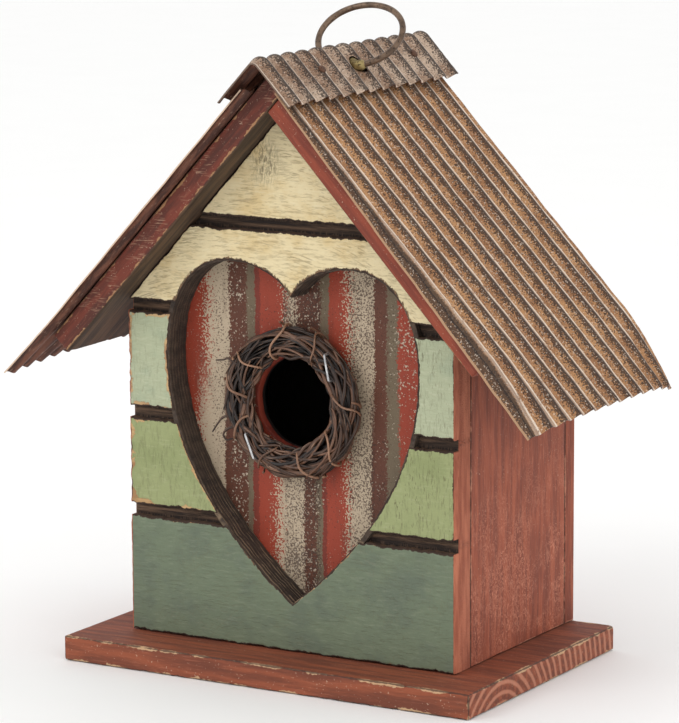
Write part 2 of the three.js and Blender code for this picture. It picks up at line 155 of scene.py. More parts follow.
def signed_volume(mesh):
    """Volume inside the faces: the sum over triangles of their corners' triple product over six."""
    mesh.calc_loop_triangles()
    co = np.zeros(len(mesh.vertices) * 3)
    mesh.vertices.foreach_get("co", co)
    tri = np.zeros(len(mesh.loop_triangles) * 3, int)
    mesh.loop_triangles.foreach_get("vertices", tri)
    a, b, c = np.moveaxis(co.reshape(-1, 3)[tri.reshape(-1, 3)], 1, 0)
    return float(np.einsum("ij,ij->i", a, np.cross(b, c)).sum() / 6)


def gather(parts):
    """Several (points, faces) pairs as one pair."""
    points, faces, start = [], [], 0
    for p, f in parts:
        p = np.asarray(p, float).reshape(-1, 3)
        faces += [[int(k) + start for k in face] for face in f]
        points.append(p)
        start += len(p)
    return np.concatenate(points), faces


def shell(front, back):
    """A closed sheet between two grids of the same size: both grids and the strips round them."""
    rows, cols = front.shape[:2]
    n = rows * cols
    inner = quads(rows, cols)
    at = np.arange(n).reshape(rows, cols)
    rim = np.concatenate([at[:, 0], at[-1, 1:], at[-2::-1, -1], at[0, -2:0:-1]])
    nxt = np.roll(rim, -1)
    strip = np.stack([rim, nxt, nxt + n, rim + n], 1)
    faces = np.concatenate([inner[:, ::-1], inner + n, strip])
    return np.concatenate([front.reshape(-1, 3), back.reshape(-1, 3)]), faces


def tube(path, radius, ref, sides=8, closed=False, rim=None):
    """A round section carried along a path. It is turned by a reference direction, and open ends
    are rounded off to a pole. radius is a number or one for each point; rim scales the section's
    radius round its turn."""
    path = np.asarray(path, float)
    radius = np.broadcast_to(np.asarray(radius, float), (len(path),))
    along = unit(np.roll(path, -1, 0) - np.roll(path, 1, 0)) if closed else unit(np.gradient(path, axis=0))
    if not closed:
        r0, r1 = radius[0], radius[-1]
        ends = np.array([1.0, 0.8, 0.45])
        shrink = np.array([0.12, 0.6, 0.9])
        path = np.concatenate(
            [path[0] - along[0] * r0 * ends[:, None], path, path[-1] + along[-1] * r1 * ends[::-1, None]])
        radius = np.concatenate([r0 * shrink, radius, r1 * shrink[::-1]])
        along = np.concatenate([along[:1].repeat(3, 0), along, along[-1:].repeat(3, 0)])
    ref = np.broadcast_to(np.asarray(ref, float), path.shape) if np.ndim(ref) == 1 else np.asarray(ref)
    if len(ref) != len(path):
        ref = np.concatenate([ref[:1].repeat(3, 0), ref, ref[-1:].repeat(3, 0)])
    side = unit(np.cross(along, ref))
    up = np.cross(side, along)
    turn = np.linspace(0, 2 * np.pi, sides, endpoint=False)
    size = radius[:, None] * (1 if rim is None else rim)
    ring = size[..., None] * (
        np.cos(turn)[None, :, None] * side[:, None] + np.sin(turn)[None, :, None] * up[:, None])
    points = (path[:, None] + ring).reshape(-1, 3)
    faces = quads(len(path), sides, wrap_rows=closed, wrap_cols=True).tolist()
    if not closed:
        faces += [list(range(sides)), list(range(len(points) - sides, len(points)))[::-1]]
    return points, faces


def lathe(profile, at, way, sides=28):
    """A profile of (radius, distance) turned round an axis, closed at both ends by a small disc."""
    way = unit(np.asarray(way, float))
    side = unit(np.cross(way, [0.31, 0.55, 0.77]))
    up = np.cross(way, side)
    turn = np.linspace(0, 2 * np.pi, sides, endpoint=False)
    r, d = np.asarray(profile, float).T
    spoke = np.cos(turn)[:, None] * side + np.sin(turn)[:, None] * up
    points = np.asarray(at, float) + d[:, None, None] * way + r[:, None, None] * spoke
    faces = quads(len(profile), sides, wrap_cols=True).tolist()
    n = len(profile) * sides
    return points.reshape(-1, 3), faces + [list(range(sides)), list(range(n - sides, n))[::-1]]


def plank(section, low, high, axis, round_by, chip, seed, step=1.6, end_round=0.9):
    """A board: a polygon carried along an axis. Each corner is a quadratic curve that cuts it by
    round_by and, where noise along the board is high, by up to chip more. The ends draw in by a
    quarter circle, and flat sides keep a close line beside each corner."""
    corners = np.asarray(section, float)
    inner = np.linspace(low + end_round, high - end_round, max(3, int((high - low) / step)))
    quarter = np.radians([0, 30, 60])
    draw = end_round * (1 - np.sin(quarter))
    near = end_round * (1 - np.cos(quarter))
    along = np.concatenate([low + near, inner, high - near[::-1]])
    inset = np.concatenate([draw, np.zeros(len(inner)), draw[::-1]])
    ahead = unit(np.roll(corners, -1, 0) - corners)
    behind = unit(np.roll(corners, 1, 0) - corners)
    bend = np.abs(ahead[:, 0] * behind[:, 1] - ahead[:, 1] * behind[:, 0])
    corner = corners + inset[:, None, None] * ((ahead + behind) / bend[:, None])
    where = np.stack(np.meshgrid(along, np.arange(len(corners)) * 37.0, indexing="ij"), -1)
    torn = np.clip(0.5 * ripple(where, 9, seed) + 0.5 * ripple(where, 3.5, seed + 1), 0, 2)
    cut = (round_by * (1 + 0.35 * ripple(where, 14, seed + 2)) + chip * torn**2)[..., None]
    t = np.linspace(0, 1, 5)
    bent = [corner + behind * cut * (1 - s) ** 2 + ahead * cut * s**2 for s in t]
    loops = [corner + behind * (cut + 0.5), *bent, corner + ahead * (cut + 0.5)]
    flat = np.stack(loops, 2).reshape(len(along), -1, 2)
    run = np.broadcast_to(along[:, None], flat.shape[:2])
    points = np.stack([flat[..., 0], flat[..., 1], run], -1)
    points = points[..., {"y": [0, 2, 1], "x": [2, 0, 1], "z": [0, 1, 2]}[axis]]
    rows, cols = flat.shape[:2]
    faces = quads(rows, cols, wrap_cols=True).tolist()
    faces += [list(range(cols)), list(range((rows - 1) * cols, rows * cols))[::-1]]
    return points.reshape(-1, 3), faces


# ---------------------------------------------------------------- outlines
def bezier(p, count=60):
    """Points of a cubic curve pulled by four control points."""
    p = np.asarray(p, float)
    t = np.linspace(0, 1, count)[:, None]
    return (1 - t) ** 3 * p[0] + 3 * t * (1 - t) ** 2 * p[1] + 3 * t**2 * (1 - t) * p[2] + t**3 * p[3]


def half_heart():
    """The heart's right half as (distance from its middle line, z), from the notch to the tip."""
    h, top, wide = HEART["half"], HEART["top"], HEART["wide"]
    lobe = h * 0.47
    over = bezier([(0, HEART["notch"]), (6, top - 4), (lobe * 0.62, top), (lobe, top)])
    out = bezier([(lobe, top), (h * 0.83, top), (h, wide + 22), (h, wide)])
    down = bezier([(h, wide), (h, wide - 42), (h * 0.5, HEART["tip"] + 22), (0, HEART["tip"])])
    return np.concatenate([over[:-1], out[:-1], down])


HALF = half_heart()
LOBE_END = int(np.argmax(HALF[:, 0]))


def heart_side(z):
    """Half width of the heart at a height, on its outer side."""
    lobe_top = int(np.argmax(HALF[:, 1]))
    return np.interp(z, HALF[lobe_top:, 1][::-1], HALF[lobe_top:, 0][::-1], left=0, right=0)


def heart_over(x):
    """Height of the heart's upper outline at a place across it."""
    return np.interp(np.abs(x - HEART["x"]), HALF[: LOBE_END + 1, 0], HALF[: LOBE_END + 1, 1])


def heart_under(x):
    """Height of the heart's lower outline at a place across it."""
    return np.interp(np.abs(x - HEART["x"]), HALF[LOBE_END:, 0][::-1], HALF[LOBE_END:, 1][::-1])


def gable_outline(half, top=None):
    """A board's outline under the roof: two sides, and slopes that meet or stop at a flat top."""
    eave = ROOF["apex"] - half * TAN - GAP / COS
    peak = [(0, PEAK)] if top is None else [((PEAK - top) / TAN, top), (-(PEAK - top) / TAN, top)]
    return np.array([(-half, FLOOR), (half, FLOOR), (half, eave), *peak, (-half, eave)])


def rays(centre, angles, polygon):
    """How far from a centre each ray meets a convex polygon round it."""
    way = np.stack([np.cos(angles), np.sin(angles)], -1)[:, None]
    a = polygon - centre
    e = np.roll(polygon, -1, 0) - polygon
    cross = way[..., 0] * e[:, 1] - way[..., 1] * e[:, 0]
    with np.errstate(divide="ignore", invalid="ignore"):
        t = (a[:, 0] * e[:, 1] - a[:, 1] * e[:, 0]) / cross
        s = (a[:, 0] * way[..., 1] - a[:, 1] * way[..., 0]) / cross
    t = np.where((t > 0) & (s > -1e-6) & (s < 1 + 1e-6), t, np.inf)
    return t.min(1)


def ring_board(hole, polygon, centre, front, back, rim=0.5, count=360, hole_angles=()):
    """A board with a hole: rings of points that go from the outer outline in over the front to the
    hole, through it, and back out behind, both of their edges softened by rim."""
    corner = np.arctan2(*(polygon - centre).T[::-1])
    angles = np.unique(
        np.round(
            np.concatenate([np.linspace(-np.pi, np.pi, count, endpoint=False), corner, hole_angles]), 6))
    way = np.stack([np.cos(angles), np.sin(angles)], -1)
    far, near = rays(centre, angles, polygon), hole(angles)
    ring = lambda r, y: np.insert(centre + way * r[:, None], 1, y, axis=1)
    deep = back - front
    rows = [
        ring(far, back - rim), ring(far, front + rim), ring(far - 0.3 * rim, front + 0.3 * rim),
        ring(far - rim, front + 0 * far), ring(far - rim - 0.5, front + 0 * far),
        ring(near + rim + 0.5, front + 0 * far), ring(near + rim, front + 0 * far),
        ring(near + 0.3 * rim, front + 0.3 * rim), ring(near, front + rim),
        ring(near, front + deep / 2 + 0 * far), ring(near, back - rim),
        ring(near + rim, back + 0 * far), ring(far - rim, back + 0 * far),
    ]
    points = np.stack(rows)
    return points.reshape(-1, 3), quads(*points.shape[:2], wrap_rows=True, wrap_cols=True)


# ---------------------------------------------------------------- shader nodes
def rgb(r, g, b):
    """A display colour of 0 to 255 as the linear colour that the nodes take."""
    c = np.array([r, g, b]) / 255
    linear = np.where(c <= 0.04045, c / 12.92, ((c + 0.055) / 1.055) ** 2.4)
    return (*linear.tolist(), 1.0)


class Web:
    """Adds nodes to a tree. An input may be a number, a colour or another node's socket."""

    def __init__(self, tree):
        self.tree = tree

    def put(self, socket, value):
        """Links a socket, or sets it to a value."""
        if isinstance(value, bpy.types.NodeSocket):
            self.tree.links.new(value, socket)
        else:
            socket.default_value = value

    def node(self, kind, inputs=None, **settings):
        """A new node with its settings and inputs."""
        made = self.tree.nodes.new("ShaderNode" + kind)
        for key, value in settings.items():
            setattr(made, key, value)
        for key, value in (inputs or {}).items():
            self.put(made.inputs[key], value)
        return made

    def math(self, operation, *values):
        made = self.node("Math", operation=operation)
        for socket, value in zip(made.inputs, values):
            self.put(socket, value)
        return made.outputs[0]

    plus, minus = partialmethod(math, "ADD"), partialmethod(math, "SUBTRACT")
    most, least = partialmethod(math, "MAXIMUM"), partialmethod(math, "MINIMUM")
    scaled = partialmethod(math, "MULTIPLY_ADD")

    def times(self, *values):
        """The product of the values."""
        return reduce(lambda a, b: self.math("MULTIPLY", a, b), values)

    def mix(self, share, a, b):
        return self.node("Mix", {0: share, 6: a, 7: b}, data_type="RGBA").outputs[2]

    def lay(self, under, over, *shares):
        """A colour laid over another as far as the product of the shares says."""
        return self.mix(self.times(*shares), under, over)

    def distance(self, a, b):
        return self.node("VectorMath", {0: a, 1: b}, operation="DISTANCE").outputs["Value"]

    def ramp(self, value, stops, mode="LINEAR"):
        """A colour for each part of 0 to 1, given as (where it starts, colour)."""
        made = self.node("ValToRGB")
        made.color_ramp.interpolation = mode
        points = made.color_ramp.elements
        points.remove(points[-1])
        points[0].position, points[0].color = stops[0]
        for position, colour in stops[1:]:
            points.new(position).color = colour
        self.put(made.inputs[0], value)
        return made.outputs[0]

    def band(self, value, low, high):
        """0 below low, 1 above high and smooth between; high may be the smaller."""
        settings = {"From Min": min(low, high), "From Max": max(low, high)}
        settings.update({"To Min": 0.0 if low < high else 1.0, "To Max": 1.0 if low < high else 0.0})
        return self.node("MapRange", {"Value": value, **settings}, interpolation_type="SMOOTHSTEP").outputs[0]

    def noise(self, where, size, detail=3.0, rough=0.55):
        """Noise whose features are about size millimetres, of 0 to 1."""
        inputs = {"Vector": where, "Scale": 1.0 / size, "Detail": detail, "Roughness": rough}
        return self.node("TexNoise", inputs).outputs[0]

    def stretch(self, where, scale, turn=(0, 0, 0), shift=(0, 0, 0)):
        """A place turned, scaled and shifted."""
        return self.node(
            "Mapping", {"Vector": where, "Scale": scale, "Rotation": turn, "Location": shift}).outputs[0]

    def millimetres(self):
        """The place on the object in millimetres."""
        spot = self.node("TexCoord").outputs["Object"]
        return self.node("VectorMath", {0: spot, "Scale": 1000.0}, operation="SCALE").outputs[0]

    def split(self, where):
        """The three numbers of a place."""
        return self.node("SeparateXYZ", {0: where}).outputs[:3]

    def value(self, name):
        """A number kept on the mesh for each point."""
        return self.node("Attribute", attribute_name=name).outputs["Fac"]

    def use(self, group, **inputs):
        """The outputs of a shared group with the given inputs."""
        made = self.tree.nodes.new("ShaderNodeGroup")
        made.node_tree = group
        for key, value in inputs.items():
            self.put(made.inputs[key.replace("_", " ")], value)
        return made.outputs


def node_group(name, inputs, outputs, build):
    """A shared effect: build gets a Web and the group's input sockets, and returns its outputs."""
    tree = bpy.data.node_groups.new(name, "ShaderNodeTree")
    kinds = {"v": "NodeSocketVector", "f": "NodeSocketFloat"}
    for key, kind in inputs.items():
        tree.interface.new_socket(key, in_out="INPUT", socket_type=kinds[kind])
    for key in outputs:
        tree.interface.new_socket(key, in_out="OUTPUT", socket_type="NodeSocketFloat")
    given, result = tree.nodes.new("NodeGroupInput"), tree.nodes.new("NodeGroupOutput")
    made = build(Web(tree), {s.name: s for s in given.outputs if s.name})
    for key, socket in zip(outputs, made):
        tree.links.new(socket, result.inputs[key])
    return tree


def build_grain(w, given):
    """Wood grain drawn out along a board: broad bands, fine lines and dark pores."""
    lines = w.node("VectorMath", {0: given["Where"], 1: given["Stretch"]}, operation="MULTIPLY").outputs[0]
    broad = w.noise(lines, 3.2, 4.0, 0.6)
    fine = w.noise(lines, 0.8, 3.0, 0.65)
    pores = w.band(w.noise(lines, 0.55, 2.0, 0.6), 0.62, 0.74)
    return [broad, fine, pores]


def build_specks(w, given):
    """Small irregular spots: noise cut at a height that the cover sets."""
    blotch = w.node(
        "TexNoise", {"Vector": given["Where"], "Scale": 1.0, "Detail": 2.0, "Roughness": 0.6}).outputs[0]
    lifted = w.scaled(w.minus(given["Cover"], 0.5), 0.5, blotch)
    return [w.band(lifted, 0.49, 0.53)]


def build_arcs(w, given):
    """Saw marks: rings round a far centre, a gap apart, that come and go in patches."""
    far = w.distance(given["Where"], given["Centre"])
    rings = w.math("SINE", w.times(w.math("DIVIDE", far, given["Gap"]), 2 * math.pi))
    patch = w.noise(given["Where"], 12.0, 3.0, 0.6)
    breaks = w.noise(w.stretch(given["Where"], (0.35, 1, 1)), 1.6, 2.0, 0.6)
    seen = w.times(w.band(patch, 0.4, 0.62), w.band(breaks, 0.42, 0.6))
    return [w.times(w.band(rings, 0.45, 0.95), seen)]


def build_arris(w, given):
    """Distance to a box's nearest edge: the second least of the distances to its three pairs of faces."""
    lo = w.node("VectorMath", {0: given["Where"], 1: given["Low"]}, operation="SUBTRACT").outputs[0]
    hi = w.node("VectorMath", {0: given["High"], 1: given["Where"]}, operation="SUBTRACT").outputs[0]
    a, b, c = w.split(w.node("VectorMath", {0: lo, 1: hi}, operation="MINIMUM").outputs[0])
    least, most = w.least(a, b), w.most(a, b)
    return [w.most(least, w.least(most, c))]


def build_worn(w, given):
    """Where paint has gone: full at an edge, and less by Reach millimetres away, torn by noise."""
    coarse = w.noise(given["Where"], 7.0, 3.0, 0.6)
    fine = w.noise(given["Where"], 1.3, 3.0, 0.7)
    torn = w.plus(w.times(coarse, 1.6), fine)
    reach = w.times(given["Reach"], w.minus(torn, 0.55))
    left = w.math("DIVIDE", w.minus(reach, given["Edge"]), w.most(given["Reach"], 0.01))
    return [w.band(left, -0.06, 0.1)]


GRAIN = node_group("Wood grain", {"Where": "v", "Stretch": "v"}, ("Broad", "Fine", "Pores"), build_grain)
SPECKS = node_group("Paint specks", {"Where": "v", "Cover": "f"}, ("Mask",), build_specks)
ARCS = node_group("Saw arcs", {"Where": "v", "Centre": "v", "Gap": "f"}, ("Mask",), build_arcs)
ARRIS = node_group("Arris distance", {"Where": "v", "Low": "v", "High": "v"}, ("Distance",), build_arris)
WORN = node_group("Worn edge", {"Where": "v", "Edge": "f", "Reach": "f"}, ("Mask",), build_worn)


def finish(name, build):
    """A material: build gets a Web and returns colour, roughness, height, bump depth in millimetres
    and metallic."""
    material = bpy.data.materials.new(name)
    material.use_nodes = True
    w = Web(material.node_tree)
    shader = material.node_tree.nodes["Principled BSDF"]
    colour, rough, height, depth, metallic = build(w)
    w.put(shader.inputs["Base Color"], colour)
    w.put(shader.inputs["Roughness"], rough)
    w.put(shader.inputs["Metallic"], metallic)
    bump = w.node("Bump", {"Height": height, "Strength": 1.0, "Distance": depth * 0.001})
    w.put(shader.inputs["Normal"], bump.outputs[0])
    return material


def grey(v):
    """A grey node colour, for a plain number in a ramp."""
    return (v, v, v, 1.0)


def specks(w, where, scale, cover, shift=(0, 0, 0)):
    """Small spots that take up about the cover's share of the surface, finer as scale grows."""
    return w.use(SPECKS, Where=w.stretch(where, (scale,) * 3, shift=shift), Cover=cover)["Mask"]


def worn_away(w, where, edge, reach):
    """Where paint has gone from an edge, as far as reach."""
    return w.use(WORN, Where=where, Edge=edge, Reach=reach)["Mask"]


CREAM, BLUE_GREEN = rgb(224, 207, 165), rgb(171, 177, 146)
LIGHT_GREEN, SAGE = rgb(148, 155, 107), rgb(106, 118, 95)
DARK_WOOD, RUST_TAN, BLACK = rgb(58, 41, 31), rgb(160, 110, 70), rgb(22, 17, 15)
RED_STAIN = rgb(160, 81, 53), rgb(122, 57, 37)
PINK_STAIN = rgb(186, 112, 84), rgb(153, 83, 60)


def planks_look(w):
    """Five courses of old paint in four colours over brown wood: fine saw arcs, hatching, and torn
    brown borders that are widest round the heart."""
    p = w.millimetres()
    x, y, z = w.split(p)
    level = w.math("DIVIDE", z, 240.0)
    tops = [(t - GROOVE["tall"] / 2) / 240 for t in GROOVE["tops"]]

    def by_course(*values):
        """A colour or a number for each course, from the foot up."""
        stops = [v if isinstance(v, tuple) else grey(v) for v in values]
        return w.ramp(level, list(zip((0, *tops[3:0:-1]), stops)), "CONSTANT")

    base = by_course(SAGE, LIGHT_GREEN, BLUE_GREEN, CREAM)
    shade = by_course(rgb(96, 107, 90), rgb(138, 146, 98), rgb(152, 164, 138), rgb(212, 188, 138))
    cloud = w.noise(p, 16.0, 4.0, 0.6)
    paint = w.mix(w.band(cloud, 0.42, 0.72), base, shade)
    side_stretch = w.use(GRAIN, Where=p, Stretch=(0.16, 1, 1))
    up_stretch = w.use(GRAIN, Where=p, Stretch=(1, 1, 0.16))
    in_cream = by_course(0.25, 0.05, 0.2, 1)
    in_green = by_course(0.2, 1, 0.9, 0.05)
    level_lines = w.times(w.band(side_stretch["Fine"], 0.52, 0.68), by_course(0.7, 0.3, 0.5, 1))
    upright_lines = w.times(w.band(up_stretch["Fine"], 0.52, 0.7), by_course(0.15, 0.9, 0.8, 0.1))
    weave = w.most(level_lines, upright_lines)
    paint = w.lay(paint, w.mix(0.4, paint, rgb(84, 72, 48)), weave, 0.5)
    lit = w.times(w.band(side_stretch["Fine"], 0.44, 0.34), by_course(0.04, 0.06, 0.1, 0.16))
    paint = w.mix(lit, paint, rgb(232, 226, 200))
    arcs = w.use(ARCS, Where=p, Centre=(-28.0, -39.5, 45.0), Gap=1.7)["Mask"]
    arcs_low = w.use(ARCS, Where=p, Centre=(6.0, -39.5, -20.0), Gap=2.4)["Mask"]
    saw = w.times(w.most(arcs, arcs_low), in_cream)
    paint = w.lay(paint, w.mix(0.65, paint, rgb(110, 88, 56)), saw, 0.6)
    dash_across = w.times(w.band(w.noise(w.stretch(p, (0.2, 1, 1.6)), 1.0, 2.0), 0.64, 0.7), in_cream)
    dash_up = w.times(w.band(w.noise(w.stretch(p, (1.7, 1, 0.3)), 1.0, 2.0), 0.62, 0.68), in_green)
    patchy = w.band(w.noise(p, 14.0, 2.0), 0.46, 0.6)
    right = w.band(x, 20.0, 55.0)
    across = w.times(dash_across, w.scaled(patchy, 0.45, 0.05))
    upward = w.times(dash_up, w.scaled(right, 0.45, w.times(patchy, 0.3)))
    dark = w.most(across, upward)
    spot = w.distance(w.stretch(p, (1, 1, 0.75)), (-9.5, -39.5, 154.5))
    hatch = w.band(w.noise(w.stretch(p, (1.4, 1, 0.4), turn=(0, 0.3, 0)), 1.1, 3.0, 0.65), 0.44, 0.6)
    smudge = w.times(w.band(spot, 9.5, 2.0), hatch)
    dark = w.most(dark, w.times(smudge, 0.85))
    paint = w.lay(paint, rgb(84, 70, 48), dark, 0.8)

    edge, heart = w.value("edge"), w.value("heart")
    left_wear = w.band(x, -34.0, -52.0)
    by_level = by_course(0.12, 1, 0.6, 0.1)
    patches = w.band(w.noise(p, 9.0, 3.0), 0.42, 0.58)
    reach = w.scaled(w.times(left_wear, by_level, patches), 2.6, 0.55)
    tan = worn_away(w, p, edge, reach)
    bare_tan = w.mix(w.band(side_stretch["Broad"], 0.4, 0.6), RUST_TAN, rgb(196, 156, 108))
    paint = w.lay(paint, bare_tan, tan, 0.85)
    rim_left = w.times(w.band(x, -18.0, -34.0), w.band(z, 136.0, 128.0), 1.8)
    rim_right = w.times(w.band(x, -6.0, 4.0), w.band(z, 70.0, 50.0), 1.3)
    rim = worn_away(w, p, heart, w.most(rim_left, rim_right))
    paint = w.lay(paint, bare_tan, rim, 0.85)
    lobes = w.times(w.band(z, 134.0, 150.0), 1.5)
    low_left = w.times(w.band(x, 6.0, -6.0), w.band(z, 92.0, 60.0), 0.9)
    fringe_reach = w.plus(w.plus(lobes, low_left), 0.5)
    spiky = w.stretch(p, (2.6, 1, 1.3))
    fringe = worn_away(w, spiky, heart, fringe_reach)
    paint = w.lay(
        paint, w.mix(w.band(up_stretch["Fine"], 0.4, 0.6), rgb(56, 38, 27), rgb(112, 76, 46)), fringe, 0.92)
    bare = worn_away(w, spiky, edge, 0.85)
    paint = w.mix(bare, paint, DARK_WOOD)
    skirt = w.band(y, BODY["front"] + 0.35, BODY["front"] + 0.8)
    paint = w.mix(skirt, paint, w.mix(w.band(up_stretch["Broad"], 0.35, 0.65), DARK_WOOD, rgb(88, 64, 46)))
    outside = w.band(w.math("ABSOLUTE", x), BODY["half"] - 0.75, BODY["half"] - 0.5)
    paint = w.mix(outside, paint, w.mix(w.band(up_stretch["Broad"], 0.35, 0.65), *PINK_STAIN))
    rough = w.scaled(w.most(dark, bare), 0.2, 0.68)
    worn = w.most(w.most(dark, saw), w.most(tan, weave))
    height = w.minus(w.scaled(side_stretch["Fine"], 0.35, cloud), w.times(worn, 0.4))
    return paint, rough, height, 0.35, 0.0


def groove_look(w):
    """The bare board seen in the grooves: a lighter fibrous ridge along each, black and ticked beside
    the planks' edges, and stained on the board's outer ends."""
    p = w.millimetres()
    x, y, z = w.split(p)
    grain = w.use(GRAIN, Where=p, Stretch=(0.1, 1, 1.6))
    off = w.math("ABSOLUTE", w.minus(z, GROOVE["tops"][0] - GROOVE["tall"] / 2))
    for top in GROOVE["tops"][1:]:
        off = w.least(off, w.math("ABSOLUTE", w.minus(z, top - GROOVE["tall"] / 2)))
    ridge = w.times(w.band(off, 2.1, 0.5), w.band(grain["Broad"], 0.36, 0.6))
    colour = w.mix(ridge, rgb(38, 27, 22), rgb(112, 87, 68))
    colour = w.lay(colour, BLACK, grain["Pores"], 0.8)
    ticks = w.band(w.noise(w.stretch(p, (1.7, 1, 0.25)), 1.0, 2.0), 0.52, 0.6)
    colour = w.lay(colour, rgb(92, 70, 54), ticks, w.band(off, 0.9, 1.9), 0.7)
    up = w.use(GRAIN, Where=p, Stretch=(1, 1, 0.16))
    outside = w.band(w.math("ABSOLUTE", x), BODY["half"] - 0.45, BODY["half"] - 0.2)
    colour = w.mix(outside, colour, w.mix(w.band(up["Broad"], 0.35, 0.65), *PINK_STAIN))
    return colour, 0.85, w.plus(ridge, grain["Fine"]), 0.5, 0.0


def lining_look(w):
    """The board's thickness inside the heart: dark ply whose fine lines show best low on the left."""
    p = w.millimetres()
    x, y, z = w.split(p)
    grain = w.use(GRAIN, Where=p, Stretch=(1, 0.4, 1))
    colour = w.mix(w.band(grain["Broad"], 0.36, 0.66), rgb(54, 43, 35), rgb(76, 61, 50))
    wobble = w.times(w.noise(w.stretch(p, (0.3, 1, 0.3)), 8.0, 2.0), 2.4)
    ply = w.math("SINE", w.times(w.plus(y, wobble), 2 * math.pi / 1.9))
    low = w.scaled(w.band(z, 90.0, 40.0), 0.45, 0.1)
    broken = w.band(w.noise(w.stretch(p, (0.3, 1, 0.3)), 2.0, 2.0), 0.4, 0.55)
    line = w.times(w.band(ply, 0.35, 0.95), broken, low)
    colour = w.mix(line, colour, rgb(168, 142, 112))
    colour = w.lay(colour, rgb(27, 19, 15), w.band(ply, -0.6, -0.95), 0.6)
    colour = w.lay(colour, BLACK, grain["Pores"], 0.8)
    return colour, 0.85, w.plus(grain["Fine"], line), 0.45, 0.0


RED, WHITE, BROWN = rgb(152, 57, 34), rgb(188, 169, 144), rgb(94, 51, 33)
GREY_GREEN, DEEP_RED = rgb(110, 95, 74), rgb(120, 43, 27)
# The panel's stripes from left to right, high up and low down, as (left border, how far that border
# is sprayed over its neighbour, paint).
HIGH_STRIPES = [
    (-60, 1, RED), (-46, 11, WHITE), (-35.3, 2, BROWN), (-27, 2, GREY_GREEN), (-23.3, 1, DEEP_RED),
    (-21, 1, RED), (-9.2, 9, WHITE), (-4.2, 6, BROWN), (6.7, 3, GREY_GREEN), (10.8, 1, RED),
    (20, 11, WHITE), (31.7, 1.5, BROWN), (37.5, 3, GREY_GREEN), (42.5, 2, RED)]
LOW_STRIPES = [(-60, 1, RED), (-50, 9, WHITE), (-37.5, 2, BROWN), (-27, 1, GREY_GREEN), (-24.5, 1, DEEP_RED),
               (-22, 1, RED), (-13, 11, WHITE), (-0.8, 2, BROWN), (5, 3, GREY_GREEN), (7.6, 1, DEEP_RED),
               (9.5, 1, RED), (19.5, 9, WHITE), (30.2, 2, BROWN), (37.5, 3, GREY_GREEN), (43, 2, RED)]
# How thick pale and dark specks lie on the panel: (from here on, pale, dark).
SPECKLED = [(-60, 0.1, 0.1), (-50, 0.1, 0.2), (-44, 0.05, 0.3), (-35, 0.26, 0.26), (-27, 0.12, 0.2),
            (-23, 0.07, 0.16), (-10, 0.3, 0.46), (7, 0.14, 0.2), (11, 0.07, 0.18), (20, 0.1, 0.4),
            (28, 0.05, 0.48), (31.7, 0.16, 0.26), (37, 0.2, 0.2), (43, 0.26, 0.14)]


def stripes_look(w):
    """Bands of paint down the panel, with sprayed specks where one runs into the next, and painted shade deep
    in the entrance hole.
    """
    p = w.millimetres()
    x, y, z = w.split(p)
    place = lambda v: (v + 60) / 120
    wobble = w.times(w.minus(w.noise(w.stretch(p, (0.6, 1, 1)), 7.0, 4.0, 0.65), 0.5), 2.6)
    fine = w.minus(w.noise(p, 0.85, 2.0, 0.6), 0.5)
    flat = w.math("DIVIDE", w.plus(w.plus(x, wobble), 60.0), 120.0)

    def banding(bands):
        """The stripes at one height, each border shifted by noise as wide as its spray."""
        middles = [0] + [place((a[0] + b[0]) / 2) for a, b in zip(bands, bands[1:])]
        spray = w.ramp(flat, [(m, grey(b[1] / 12)) for m, b in zip(middles, bands)], "CONSTANT")
        bent = w.scaled(w.times(fine, spray), 0.24, flat)
        return w.ramp(bent, [(place(a), paint) for a, _, paint in bands], "CONSTANT")

    high_part = w.band(w.plus(z, w.times(wobble, 4.0)), 92.0, 128.0)
    colour = w.mix(high_part, banding(LOW_STRIPES), banding(HIGH_STRIPES))
    shade = w.noise(w.stretch(p, (1, 1, 0.25)), 6.0, 4.0, 0.6)
    colour = w.mix(w.band(shade, 0.48, 0.75), colour, w.mix(0.35, colour, rgb(80, 46, 34)))
    pale = w.ramp(flat, [(place(a), grey(b)) for a, b, _ in SPECKLED], "CONSTANT")
    dark = w.ramp(flat, [(place(a), grey(b)) for a, _, b in SPECKLED], "CONSTANT")
    clump = w.scaled(w.noise(p, 11.0, 2.0), 0.5, -0.25)
    pale_spots = specks(w, p, 1.15, w.plus(pale, clump), (3, 50, 9))
    dark_spots = specks(w, p, 1.25, w.plus(dark, clump), (31, 7, 13))
    colour = w.lay(colour, rgb(206, 190, 168), pale_spots, 0.85)
    colour = w.lay(colour, rgb(70, 47, 37), dark_spots, 0.8)
    rim = w.distance(p, (HOLE["x"], PANEL_FRONT, HOLE["z"]))
    red_rim = w.most(
        w.band(y, PANEL_FRONT + 0.3, PANEL_FRONT + 0.9),
        w.band(rim, HOLE["radius"] + 0.9, HOLE["radius"] + 0.5))
    colour = w.mix(red_rim, colour, w.mix(w.band(shade, 0.35, 0.65), rgb(146, 56, 36), rgb(110, 38, 25)))
    # Painted shade: deeper than 2.4 mm into the hole, and on the panel's back, the board goes near black.
    colour = w.mix(w.band(y, PANEL_FRONT + 2.4, PANEL_FRONT + 3.2), colour, rgb(18, 12, 9))
    height = w.plus(w.times(w.plus(pale_spots, dark_spots), 0.5), w.plus(fine, shade))
    return colour, 0.66, height, 0.22, 0.0


